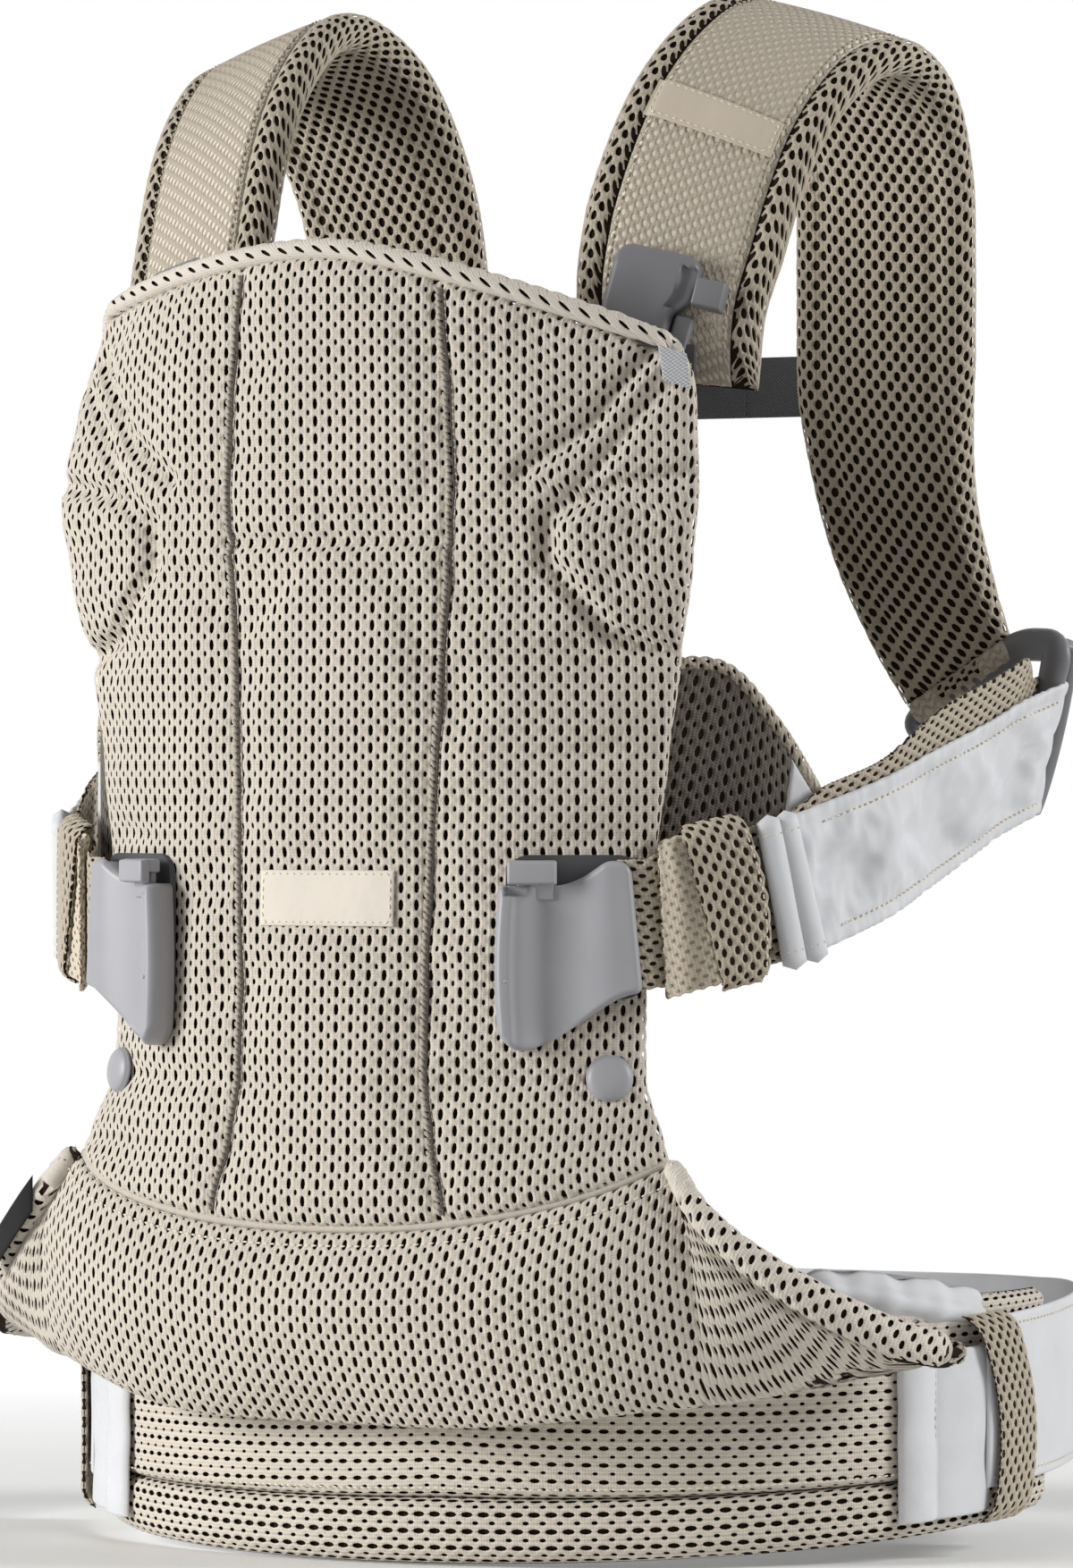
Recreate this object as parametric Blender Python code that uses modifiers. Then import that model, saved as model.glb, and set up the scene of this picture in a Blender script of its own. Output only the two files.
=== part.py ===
"""Soft baby carrier: padded mesh panel and seat, waist belt, shoulder straps and clip buckles.

Front faces -Y, +Z is up, +X is the viewer's right. The origin is the middle of the waist opening, level with
the lower edge of the belt at its sides. Sizes below are in millimetres.
"""

from math import cos, pi, radians, sin

import bmesh
import bpy
from mathutils import Matrix, Vector

MM = 0.001

# Driving dimensions of the whole carrier
OBJECT_WIDTH = 407.0
OBJECT_DEPTH = 330.0
OBJECT_HEIGHT = 552.0

# Driving dimensions of the soft pieces
PANEL_THICKNESS = 9.0
PAD_THICKNESS = 12.0
STRAP_WIDTH = 74.0
STRAP_THICKNESS = 14.0
ROLL_RADIUS = 6.0
LEG_ROLL_RADIUS = 7.5
STRIP_HALF = 42.0
FOLD_HEIGHT = 353.0
QUILT_DEPTH = 2.4
BAND_THICKNESS = 2.4
SIDE_STRAP_HEIGHT = 49.0
WAIST_STRAP_HEIGHT = 60.0
WEBBING_HEIGHT = 22.0

# Driving dimensions of the plastic pieces
SIDE_CLIP = (52.0, 71.0, 9.0)
SHOULDER_CLIP = (44.0, 40.0, 8.0)
WAIST_BUCKLE_HEIGHT = 67.0
TAB_SIZE = (17.0, 11.0)
TAB_TRAVEL = 3.0
CLIP_SLOT = 46.0
SLOT_RISE = 9.0
SNAP_RADIUS = 8.2
RING_BAR_RADIUS = 3.2
GAP = 0.4

# The layout was measured on a carrier of these overall sizes and stretches with the driving ones
WIDE = OBJECT_WIDTH / 407.0
DEEP = OBJECT_DEPTH / 330.0
TALL = OBJECT_HEIGHT / 552.0

# Waist belt outline: half width, front half depth, back depth, half length of the straight back
BELT_HALF = 178.0
BELT_FRONT = 150.0
BELT_BACK = 130.0
BELT_FLAT = 85.0

# The belt sits turned a little about the wearer, in degrees
BELT_TURN = 10.0

# Panel outline by height: height, half width, depth at the edge, depth at the centre
PANEL_ROWS = (
    (95, 160, -150, -176),
    (121, 136, -146, -174),
    (144, 120, -140, -172),
    (166, 111, -137, -171),
    (205, 110, -135, -169.5),
    (245, 114, -135, -168),
    (276, 118, -134, -167),
    (311, 123, -134, -166),
    (342, 129, -137, -165),
    (371, 133, -140, -165),
    (402, 129, -134, -165.5),
    (430, 122, -129, -166),
    (462, 112, -124, -166),
)

COLOURS = {
    "beige_mesh": (0.40, 0.31, 0.22),
    "cream_mesh": (0.62, 0.52, 0.40),
    "taupe_mesh": (0.33, 0.27, 0.22),
    "grey_cloth": (0.36, 0.36, 0.36),
    "grey_plastic": (0.24, 0.24, 0.25),
    "dark_plastic": (0.05, 0.05, 0.05),
    "dark_webbing": (0.08, 0.08, 0.08),
    "cream_label": (0.60, 0.53, 0.43),
    "black_tape": (0.02, 0.02, 0.02),
}


# Scene and materials

def clear_scene():
    for item in list(bpy.data.objects):
        bpy.data.objects.remove(item, do_unlink=True)


def new_collection(name):
    found = bpy.data.collections.new(name)
    bpy.context.scene.collection.children.link(found)
    return found


def new_material(name, colour):
    made = bpy.data.materials.new(name)
    made.use_nodes = True
    shader = made.node_tree.nodes["Principled BSDF"]
    shader.inputs["Base Color"].default_value = (*colour, 1.0)
    shader.inputs["Roughness"].default_value = 0.45 if "plastic" in name else 0.9
    return made


clear_scene()
PARTS = new_collection("soft_baby_carrier")
CUTTERS = new_collection("cutters")
CUTTERS.hide_render = True


# Points, rails and frames

def place(x, y, z):
    return Vector((x * WIDE, y * DEEP, z * TALL)) * MM


def rail(points):
    """A smooth path through the points, as a function of the share of its length from 0 to 1."""
    stops = [0.0]
    for a, b in zip(points, points[1:]):
        stops.append(stops[-1] + (b - a).length)
    last = len(points) - 1

    def slope(i):
        low, high = max(i - 1, 0), min(i + 1, last)
        return (points[high] - points[low]) / (stops[high] - stops[low])

    def at(share):
        along = min(max(share, 0.0), 1.0) * stops[-1]
        i = next((k for k in range(last) if along <= stops[k + 1]), last - 1)
        span = stops[i + 1] - stops[i]
        t = (along - stops[i]) / span
        rise, fall = (2 * t**3 - 3 * t**2 + 1), (3 * t**2 - 2 * t**3)
        return (
            points[i] * rise
            + points[i + 1] * fall
            + slope(i) * span * (t**3 - 2 * t**2 + t)
            + slope(i + 1) * span * (t**3 - t**2)
        )

    return at


def between(rows, key):
    """The row at key, read evenly between the two nearest rows of a table sorted by its first column."""
    for low, high in zip(rows, rows[1:]):
        if key <= high[0]:
            t = max(0.0, (key - low[0]) / (high[0] - low[0]))
            t = t * t * (3 - 2 * t) * 0.5 + t * 0.5
            return [a + (b - a) * t for a, b in zip(low[1:], high[1:])]
    return list(rows[-1][1:])


def facing(surface, u, v):
    """The unit normal of a surface that takes two shares, pointing out of its face."""
    step = 0.004
    along = surface(min(u + step, 1.0), v) - surface(max(u - step, 0.0), v)
    up = surface(u, min(v + step, 1.0)) - surface(u, max(v - step, 0.0))
    return along.cross(up).normalized()


def lifted(surface, height):
    """The same surface moved along its normals by a height in millimetres."""

    def at(u, v):
        return surface(u, v) + facing(surface, u, v) * height * MM

    return at


def local_frame(origin, outward, upward=Vector((0, 0, 1))):
    """A frame whose x runs along the face, y up the face and z out of it."""
    n = outward.normalized()
    t = upward.cross(n).normalized()
    up = n.cross(t)
    return Matrix.Translation(origin) @ Matrix((t, up, n)).transposed().to_4x4()


# Making objects

def add_object(name, data, colour, pivot=None, home=None):
    item = bpy.data.objects.new(name, data)
    (home or PARTS).objects.link(item)
    if colour:
        data.materials.append(MATERIALS[colour])
    if pivot:
        data.transform(Matrix.Translation(-pivot))
        item.location = pivot
    return item


def mirrored(vector, side):
    return Vector((vector.x * side, vector.y, vector.z))


def from_bmesh(name, shape, colour, side=1, pivot=None, home=None):
    """An object from a shape drawn for the right side, turned over to the left side where side is -1."""
    if side < 0:
        bmesh.ops.scale(shape, vec=(-1, 1, 1), verts=shape.verts)
        bmesh.ops.reverse_faces(shape, faces=shape.faces)
    mesh = bpy.data.meshes.new(name)
    shape.to_mesh(mesh)
    shape.free()
    return add_object(name, mesh, colour, pivot and mirrored(pivot, side), home)


def sheet(name, cells, surface, thickness, colour, side=1, pad=None, centred=False, pivot=None):
    """Cloth: a grid laid on a surface and thickened inwards, by the share that pad gives at each point."""
    shape = bmesh.new()
    bmesh.ops.create_grid(shape, x_segments=cells[0], y_segments=cells[1], size=0.5)
    shares = [(v.co.x + 0.5, v.co.y + 0.5) for v in shape.verts]
    for vert, (u, v) in zip(shape.verts, shares):
        vert.co = surface(u, v)
    item = from_bmesh(name, shape, colour, side, pivot)
    solid = item.modifiers.new("thickness", "SOLIDIFY")
    solid.thickness = thickness * MM
    solid.offset = 0.0 if centred else -1.0
    if pad:
        group = item.vertex_groups.new(name="padding")
        for i, (u, v) in enumerate(shares):
            group.add([i], pad(u, v), "REPLACE")
        solid.vertex_group = "padding"
        solid.thickness_vertex_group = 0.0
    return item


def tube(name, points, radii, colour, side=1, closed=False, pivot=None, sides=2):
    """A round roll or bar along points, with a radius in millimetres at each."""
    curve = bpy.data.curves.new(name, "CURVE")
    curve.dimensions = "3D"
    curve.bevel_depth = MM
    curve.bevel_resolution = sides
    curve.use_fill_caps = True
    spline = curve.splines.new("POLY")
    spline.points.add(len(points) - 1)
    for knot, point, radius in zip(spline.points, points, radii):
        knot.co = (*mirrored(point, side), 1.0)
        knot.radius = radius
    spline.use_cyclic_u = closed
    return add_object(name, curve, colour, pivot and mirrored(pivot, side))


def box_shape(size, centre=(0, 0, 0)):
    shape = bmesh.new()
    bmesh.ops.create_cube(shape, size=1.0)
    bmesh.ops.scale(shape, vec=Vector(size) * MM, verts=shape.verts)
    bmesh.ops.translate(shape, vec=Vector(centre) * MM, verts=shape.verts)
    return shape


def round_corners(shape, radius, segments=4):
    """Rounds the four edges that run through the thickness."""
    upright = [
        e for e in shape.edges
        if abs(e.verts[0].co.z - e.verts[1].co.z) > 0.9 * e.calc_length()
    ]
    bmesh.ops.bevel(
        shape, geom=upright, offset=radius * MM, segments=segments, profile=0.5, affect="EDGES"
    )


def soften_face(shape, radius, segments=2):
    """Rounds the rim of the outer face."""
    top = max(v.co.z for v in shape.verts)
    rim = [
        e for e in shape.edges
        if all(v.co.z > top - 1e-6 for v in e.verts) and len(e.link_faces) == 2
        and any(abs(f.normal.z) < 0.5 for f in e.link_faces)
    ]
    bmesh.ops.bevel(
        shape, geom=rim, offset=radius * MM, segments=segments, profile=0.5, affect="EDGES"
    )


def plate_shape(size, centre, corner, rim=0.0):
    shape = box_shape(size, centre)
    round_corners(shape, corner)
    if rim:
        shape.normal_update()
        soften_face(shape, rim)
    return shape


def framed(name, shape, frame, colour, side=1, pivot=None, home=None):
    bmesh.ops.transform(shape, matrix=frame, verts=shape.verts)
    return from_bmesh(name, shape, colour, side, pivot, home)


def carve(item, shape, frame, side=1):
    """Cuts a shape out of an object."""
    cutter = framed(item.name + "_cut", shape, frame, None, side, None, CUTTERS)
    cutter.hide_render = True
    cutter.display_type = "WIRE"
    cut = item.modifiers.new("cut", "BOOLEAN")
    cut.operation = "DIFFERENCE"
    cut.solver = "EXACT"
    cut.object = cutter


def side_name(name, side):
    return name + ("_right" if side > 0 else "_left")


MATERIALS = {name: new_material(name, colour) for name, colour in COLOURS.items()}


# Front panel and head support

def panel_point(share, height):
    """A point on the outer face of the panel: share runs from -1 at the left edge to 1 at the right edge."""
    half, edge, centre = between(PANEL_ROWS, height)
    return place(half * share, centre + (edge - centre) * abs(share) ** 2.3, height)


def panel_outward(share, height, upright=True):
    """The direction out of the panel's face, kept level where upright is set."""
    run = panel_point(share + 0.02, height) - panel_point(share - 0.02, height)
    rise = Vector((0, 0, 1)) if upright else panel_point(share, height + 3) - panel_point(share, height - 3)
    return run.cross(rise).normalized()


def behind_panel(share, height, off):
    """A point off millimetres behind the panel's inner face, on the right."""
    return panel_point(share, height) - panel_outward(share, height) * (PANEL_THICKNESS + off) * MM


def strip_share(u, height):
    """The share across the panel for a column, with whole columns on the seams of the centre strip."""
    half = between(PANEL_ROWS, height)[0]
    seam = STRIP_HALF / half
    if u < 1 / 3:
        return -1 + (1 - seam) * u * 3
    if u > 2 / 3:
        return seam + (1 - seam) * (u - 2 / 3) * 3
    return -seam + 2 * seam * (u - 1 / 3) * 3


def pillow(u, v, rows=1):
    """How full the padding is at a point between seams, from 0 at a seam to 1 between two."""
    across = abs(sin(pi * 3 * u)) if 0 < u < 1 else 0.0
    up = abs(sin(pi * rows * v)) if 0 < v < 1 else 0.0
    return (across * up) ** 0.4


FOLD_START = 0.6
GUSSET_LOW, GUSSET_HIGH = 311.0, 372.0


def fold_part(share):
    return max(0.0, (abs(share) - FOLD_START) / (1 - FOLD_START))


def panel_top(share):
    return FOLD_HEIGHT - GAP / 2 + (GUSSET_LOW - FOLD_HEIGHT) * (1 - (1 - fold_part(share)) ** 3)


def head_bottom(share):
    return FOLD_HEIGHT + GAP / 2 + (GUSSET_HIGH - FOLD_HEIGHT) * fold_part(share)


def head_top(share):
    return 447.5 - 28.0 * abs(share) ** 1.6 - 9.0 * share


def seam_height(share):
    return 113.0 + 25.0 * abs(share) ** 2.2


def panel_span(bottom, top):
    """A panel surface between two heights that change across the panel."""

    def at(u, v):
        share = strip_share(u, 300.0)
        low, high = bottom(share), top(share)
        return panel_point(share, low + (high - low) * v)

    return at


def quilted(surface, rows, depth=QUILT_DEPTH):
    """A surface drawn in along its seams and edges."""

    def at(u, v):
        return surface(u, v) - facing(surface, u, v) * depth * MM * (1 - pillow(u, v, rows))

    return at


def padding(rows, least=0.5):
    def at(u, v):
        return least + (1 - least) * pillow(u, v, rows)

    return at


def quilt_line(surface, start, end, reach, depth):
    """A surface with one more stitched channel between two points given as shares, on both sides."""

    def away(u, v):
        w = max(u, 1 - u)
        run = Vector(end) - Vector(start)
        here = Vector((w, v)) - Vector(start)
        t = min(max(here.dot(run) / run.dot(run), 0.0), 1.0)
        return (here - run * t).length

    def at(u, v):
        near = max(0.0, 1 - away(u, v) / reach)
        return surface(u, v) - facing(surface, u, v) * depth * MM * near

    return at


FRONT = panel_span(lambda s: seam_height(s) + GAP, panel_top)
HEAD = panel_span(head_bottom, head_top)


def build_panel():
    sheet("front_panel", (24, 17), quilted(FRONT, 1), PANEL_THICKNESS, "beige_mesh", pad=padding(1))
    head = quilt_line(quilted(HEAD, 1), (0.80, 0.22), (0.97, 0.56), 0.10, 1.6)
    sheet("head_support", (24, 8), head, PANEL_THICKNESS, "beige_mesh", pad=padding(1), pivot=FOLD_PIVOT)
    shares = [-0.97 + 1.94 * i / 26 for i in range(27)]
    edge = [panel_point(s, head_top(s)) for s in shares]
    inward = PANEL_THICKNESS * 0.35 * MM
    lift = (ROLL_RADIUS - 0.6) * MM
    points = [p + Vector((0, inward, lift)) for p in edge]
    radii = [ROLL_RADIUS * min(1.0, 0.55 + 2.0 * (1 - abs(s))) for s in shares]
    tube("head_support_roll", points, radii, "cream_mesh", pivot=FOLD_PIVOT, sides=1)


def gusset_surface(u, v):
    share = FOLD_START + 0.035 + (1 - FOLD_START - 0.035) * u
    low, high = panel_top(share) + 0.6 / TALL, head_bottom(share) - 1.4 / TALL
    return panel_point(share, low + (high - low) * v)


def build_gusset(side):
    surface = quilted(gusset_surface, 1, 1.2)

    def full(u, v):
        return 0.45 + 0.4 * pillow(min(u, 0.999) / 3, v)

    sheet(side_name("side_gusset", side), (6, 4), surface, PANEL_THICKNESS, "beige_mesh", side, full)


FOLD_PIVOT = panel_point(0.0, FOLD_HEIGHT) + Vector((0, -GAP * MM, 0))


# Seat pouch and leg rolls

LEG_EDGE = rail([
    place(122, -143, 136),
    place(136, -145, 116),
    place(155, -135, 96),
    place(173, -116, 82),
    place(189, -88, 73),
    place(194, -64, 70),
])
SEAT_LOW = rail([
    place(0, -164, 46),
    place(50, -164, 46),
    place(95, -157, 50),
    place(140, -132, 56),
    place(172, -99, 60),
    place(188, -64, 63),
])
SEAT_SEAM_SHARE = 0.6
SEAT_BULGE = 13.0
SEAT_BACK_ANGLE = 68.0

# How far the seat hangs higher on the left: share of its half width, rise
SEAT_HITCH = ((0.0, 0.0), (0.25, 1.0), (0.6, 11.0), (0.85, 8.0), (1.0, 0.0))


def seat_rim(w):
    """The upper edge of the seat on the right: along the curved seam, then along the leg opening."""
    if w <= SEAT_SEAM_SHARE:
        share = w / SEAT_SEAM_SHARE
        return panel_point(share, seam_height(share) - GAP)
    return LEG_EDGE((w - SEAT_SEAM_SHARE) / (1 - SEAT_SEAM_SHARE))


def seat_outward(w):
    """The level direction in which the seat bulges."""
    angle = radians(12 + 58 * w) * min(1.0, w * 3)
    return Vector((sin(angle), -cos(angle), 0.0))


def seat_profile(w, side):
    """The run of cloth from the belt round the bottom and up to the rim, at one place, drawn for the right."""
    rim, low, out = seat_rim(w), SEAT_LOW(w), seat_outward(w)
    if side < 0:
        low = low + Vector((0, 0, between(SEAT_HITCH, w)[0])) * MM
    back = belt_point(SEAT_BACK_ANGLE * w, 1.2 + 16.0 * w**2.5, 60.0 + 8.0 * w)
    bulge = SEAT_BULGE * MM * (1 - 0.55 * w)
    points = [
        back,
        low * 0.5 + back * 0.5 + Vector((0, 0, -4 * MM)),
        low + Vector((0, 0, -1 * MM)),
        low * 0.72 + rim * 0.28 + out * bulge * 0.85,
        low * 0.35 + rim * 0.65 + out * bulge,
        rim,
    ]
    return rail(points)


def seat_surface(u, v):
    w = abs(2 * u - 1)
    side = 1 if u >= 0.5 else -1
    return mirrored(seat_profile(w, side)(v), side)


def build_seat():
    def full(u, v):
        w = abs(2 * u - 1)
        return 0.42 + 0.5 * (sin(pi * min(max(v, 0.0), 1.0)) ** 0.6) * (1 - 0.6 * w)

    sheet("seat_pouch", (28, 12), seat_surface, PANEL_THICKNESS, "beige_mesh", pad=full)


def leg_radius(t):
    return LEG_ROLL_RADIUS * (0.45 + 0.55 * min(1.0, 1.6 * t))


def build_leg_roll(side):
    count = 18
    points, radii = [], []
    for i in range(count + 1):
        t = i / count
        radius = leg_radius(t)
        out = seat_outward(SEAT_SEAM_SHARE + (1 - SEAT_SEAM_SHARE) * t)
        lean = Vector((out.x * 0.25, out.y * 0.25 + 0.35, 1.0)).normalized()
        points.append(LEG_EDGE(t) + lean * (radius + 1.7) * MM)
        radii.append(radius)
    tube(side_name("leg_roll", side), points, radii, "cream_mesh", side)


# Waist belt

def belt_line(turn):
    """The outline of the belt: 0 degrees is the front, 90 the right side and 180 the back."""
    if turn <= 90:
        return Vector((BELT_HALF * sin(radians(turn)), -BELT_FRONT * cos(radians(turn))))
    if turn <= 150:
        sweep = radians((150 - turn) * 1.5)
        return Vector((BELT_FLAT + (BELT_HALF - BELT_FLAT) * sin(sweep), BELT_BACK * cos(sweep)))
    return Vector((BELT_FLAT * (180 - turn) / 30, BELT_BACK))


def belt_point(turn, off, height):
    """A point off millimetres outside the belt's outer face."""
    ahead, behind = belt_line(abs(turn) + 0.5), belt_line(max(abs(turn) - 0.5, 0))
    run = Vector(((ahead.x - behind.x) * WIDE, (ahead.y - behind.y) * DEEP, 0)).normalized()
    at = belt_line(abs(turn))
    point = place(at.x, at.y, height) + Vector((run.y, -run.x, 0)) * off * MM
    return point if turn >= 0 else mirrored(point, -1)


def belt_rise(turn):
    """How far the belt climbs from the front to the back."""
    return 24.0 * (1 - cos(radians(turn))) / 2 - 4.4


def belt_span(start, end, low, high, off):
    """A surface round the belt between two angles and two heights above its lower edge."""

    def at(u, v):
        turn = start + (end - start) * u
        return belt_point(turn, off, belt_rise(turn) + low + (high - low) * v)

    return at


PAD_END = 92.0
PAD_SEAM = 0.24


def pad_surface(u, v):
    turn = PAD_END * (2 * u - 1) + BELT_TURN
    tall = 97.0 - 19.0 * abs(2 * u - 1)
    seam = max(0.0, 1 - abs(v - PAD_SEAM) / 0.11)
    edge = max(0.0, 1 - min(v, 1 - v) / 0.12)
    return belt_point(turn, -2.2 * max(seam, edge), belt_rise(turn) + tall * v)


def build_belt():
    def full(u, v):
        seam = max(0.0, 1 - abs(v - PAD_SEAM) / 0.11)
        edge = max(0.0, 1 - min(v, 1 - v, u * 4, (1 - u) * 4) / 0.12)
        return 1.0 - 0.55 * max(seam, edge)

    sheet("waist_pad", (36, 8), pad_surface, PAD_THICKNESS, "beige_mesh", pad=full)
    inner = belt_span(BELT_TURN - PAD_END, BELT_TURN + PAD_END, 6, 72, -PAD_THICKNESS - GAP)
    sheet("belt_lining", (30, 1), inner, 1.6, "grey_cloth")


def closed_loop(surface, drop):
    """A band whose upper and lower ends turn in by drop millimetres."""

    def at(u, v):
        turn = max(0.0, abs(2 * v - 1) - 0.8) / 0.2
        return surface(u, v) - facing(surface, u, 0.5) * drop * MM * turn

    return at


def build_waist_side(side):
    turn = BELT_TURN * side
    sleeve = belt_span(56 + turn, 71 + turn, -1.0, 82, 0.4 + 2.0)
    sheet(side_name("waist_sleeve", side), (6, 2), sleeve, 2.0, "grey_cloth", side)
    strap_low = 44.0 - WAIST_STRAP_HEIGHT / 2
    last = 180.0 - 30.0 * WAIST_STRAP_ENDS[side] / BELT_FLAT
    strap = belt_span(72.5 + turn, last, strap_low, strap_low + WAIST_STRAP_HEIGHT, 3.2 + BAND_THICKNESS / 2)
    sheet(side_name("waist_strap", side), (26, 2), level_back(strap), BAND_THICKNESS, "grey_cloth", side,
          centred=True)
    keeper = closed_loop(belt_span(72.5 + turn, 85 + turn, -4, 82, 9.2), 5.0)
    sheet(side_name("waist_keeper", side), (4, 10), keeper, 2.2, "cream_mesh", side)


def level_back(surface):
    """A waist strap that runs level once it reaches the straight back of the belt."""

    def at(u, v):
        point = surface(u, v)
        middle = surface(u, 0.5)
        level = WAIST_LEVEL * TALL * MM
        share = min(1.0, max(0.0, (middle.y / (BELT_BACK * DEEP * MM) - 0.55) / 0.4))
        point.z += (level - middle.z) * share
        return point

    return at


WAIST_LEVEL = 57.0
BUCKLE_X = -38.0
WAIST_STRAP_ENDS = {1: BUCKLE_X + 9.0, -1: 36.0 - BUCKLE_X}


# Waist buckle at the back

WAIST_FRAME = local_frame(
    belt_point(180.0, 3.2 + BAND_THICKNESS / 2, WAIST_LEVEL) + place(BUCKLE_X, 0, 0),
    Vector((0, 1, 0)), Vector((0, 0, -1)),
)


def build_waist_buckle():
    tall, slot = WAIST_BUCKLE_HEIGHT, WAIST_STRAP_HEIGHT + 3.0
    socket = framed(
        "waist_socket", plate_shape((42, tall, 15), (-23, 0, 3.5), 6, 1.5), WAIST_FRAME, "grey_plastic"
    )
    carve(socket, box_shape((32, tall + 10, 6.2), (-16, 0, -1.1)), WAIST_FRAME)
    carve(socket, box_shape((26, 38, 5), (-14, 0, 6.0)), WAIST_FRAME)
    carve(socket, box_shape((14, slot, 3.4), (-41, 0, 0)), WAIST_FRAME)
    carve(socket, box_shape((13, 17, 8), (-14, 0, 11)), WAIST_FRAME)
    plug = framed("waist_plug", plug_shape(tall), WAIST_FRAME, "grey_plastic")
    carve(plug, box_shape((60, slot, 3.4), (20, 0, 0)), WAIST_FRAME)
    button = plate_shape((12.2, 16.2, 4.4), (-14, 0, 10.4), 2, 0.8)
    framed("waist_button", button, WAIST_FRAME, "dark_plastic")


def plug_shape(tall):
    """The sleeve round the strap, with the tongue drawn out of its end face."""
    shape = plate_shape((28, tall, 14), (20, 0, 3), 4)
    shape.normal_update()
    shape.faces.ensure_lookup_table()
    end = min(shape.faces, key=lambda f: f.calc_center_median().x)
    made = bmesh.ops.inset_region(shape, faces=[end], thickness=2.0 * MM, use_even_offset=True)
    for vert in end.verts:
        vert.co.y = 17.5 * MM * (1 if vert.co.y > 0 else -1)
        vert.co.z = (6.2 if vert.co.z > 3 * MM else 3.9) * MM
    drawn = bmesh.ops.extrude_discrete_faces(shape, faces=[end])["faces"]
    bmesh.ops.translate(shape, vec=Vector((-29, 0, 0)) * MM, verts=drawn[0].verts)
    return shape


# Buckles on the panel and on the shoulder straps

SIDE_SHARE, SIDE_LEVEL = 0.80, 211.0
SIDE_OUT = panel_outward(SIDE_SHARE, SIDE_LEVEL)
SIDE_FRAME = local_frame(panel_point(SIDE_SHARE, SIDE_LEVEL) + SIDE_OUT * 3.2 * MM, SIDE_OUT)
SHOULDER_FRAME = local_frame(place(102, -108, 433), Vector((0.30, -0.94, 0.16)))


def shield(shape):
    """Draws the lower outer corner of a plate up, so that its foot runs aslant."""
    for vert in shape.verts:
        x, y = vert.co.x / MM, vert.co.y
        t = min(max((x + 18) / 32, 0.0), 1.0)
        if y < 0:
            vert.co.y = y * (1 - 0.46 * t * t * (3 - 2 * t))
    return shape


def clip_body(name, plate, size, frame, side, pivot):
    """A clip plate with a dished face, drawn for the right side."""
    thick = size[2]
    body = framed(side_name(name, side), plate, frame, "grey_plastic", side, pivot)
    dish = bmesh.new()
    reach = 120.0
    bmesh.ops.create_cone(
        dish, cap_ends=True, segments=72, radius1=reach * MM, radius2=reach * MM, depth=0.3
    )
    turn = Matrix.Rotation(pi / 2, 4, "X")
    lift = Matrix.Translation(Vector((0.0, 0.0, reach + thick + GAP - 2.2)) * MM)
    bmesh.ops.transform(dish, matrix=lift @ turn, verts=dish.verts)
    carve(body, dish, frame, side)
    return body


def build_side_buckle(side):
    width, height, thick = SIDE_CLIP
    plate = shield(plate_shape(SIDE_CLIP, (0, 0, thick / 2 + GAP), 9, 2.0))
    clip = clip_body("side_clip", plate, SIDE_CLIP, SIDE_FRAME, side, SWING_PIVOT)
    carve(clip, box_shape((28, 30, 8.6), (-3, 2, 0)), SIDE_FRAME, side)
    slot = (14, CLIP_SLOT, BAND_THICKNESS + 1.2)
    carve(clip, box_shape(slot, (width / 2 - 1, SLOT_RISE, thick / 2 + GAP)), SIDE_FRAME, side)
    tab_x, tab_y = -13.0, height / 2 - 11.0
    well = (TAB_SIZE[0] + 2 * GAP, TAB_SIZE[1] + TAB_TRAVEL + 2 * GAP, 8)
    carve(clip, box_shape(well, (tab_x, tab_y - TAB_TRAVEL / 2, 9.4)), SIDE_FRAME, side)
    tab = plate_shape((*TAB_SIZE, 5.0), (tab_x, tab_y, 8.4), 3.5, 1.4)
    framed(side_name("side_button", side), tab, SIDE_FRAME, "grey_plastic", side, SWING_PIVOT)
    base = shield(plate_shape((width - 5, height - 6, 2.2), (0, 0, -1.1), 8))
    framed(side_name("side_base", side), raise_stud(base, (20, 24), 3.0), SIDE_FRAME, "dark_plastic", side)


def raise_stud(shape, size, height):
    """Draws a block up from the middle of a plate's outer face."""
    shape.normal_update()
    shape.faces.ensure_lookup_table()
    top = max(shape.faces, key=lambda f: f.calc_center_median().z)
    bmesh.ops.inset_region(shape, faces=[top], thickness=3.0 * MM, use_even_offset=True)
    reach_x = max(abs(v.co.x) for v in top.verts)
    reach_y = max(abs(v.co.y) for v in top.verts)
    for vert in top.verts:
        vert.co.x *= size[0] * MM / 2 / reach_x
        vert.co.y *= size[1] * MM / 2 / reach_y
    drawn = bmesh.ops.extrude_discrete_faces(shape, faces=[top])["faces"]
    bmesh.ops.translate(shape, vec=Vector((0, 0, height)) * MM, verts=drawn[0].verts)
    return shape


def build_shoulder_buckle(side):
    width, height, thick = SHOULDER_CLIP
    plate = plate_shape(SHOULDER_CLIP, (0, 0, thick / 2 + GAP), 8, 2.0)
    clip = clip_body("shoulder_clip", plate, SHOULDER_CLIP, SHOULDER_FRAME, side, None)
    carve(clip, box_shape((32, 16, 3.4), (-3, -height / 2, 3.2)), SHOULDER_FRAME, side)
    tab_x, tab_y = width / 2 - 5.0, 4.0
    well = (10 + TAB_TRAVEL + 2 * GAP, TAB_SIZE[1] + 2 * GAP, 8)
    carve(clip, box_shape(well, (tab_x - TAB_TRAVEL / 2, tab_y, 9.2)), SHOULDER_FRAME, side)
    tab = plate_shape((10, TAB_SIZE[1], 4.6), (tab_x, tab_y, 8.0), 3, 1.2)
    framed(side_name("shoulder_button", side), tab, SHOULDER_FRAME, "grey_plastic", side)
    build_shoulder_base(side)


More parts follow.
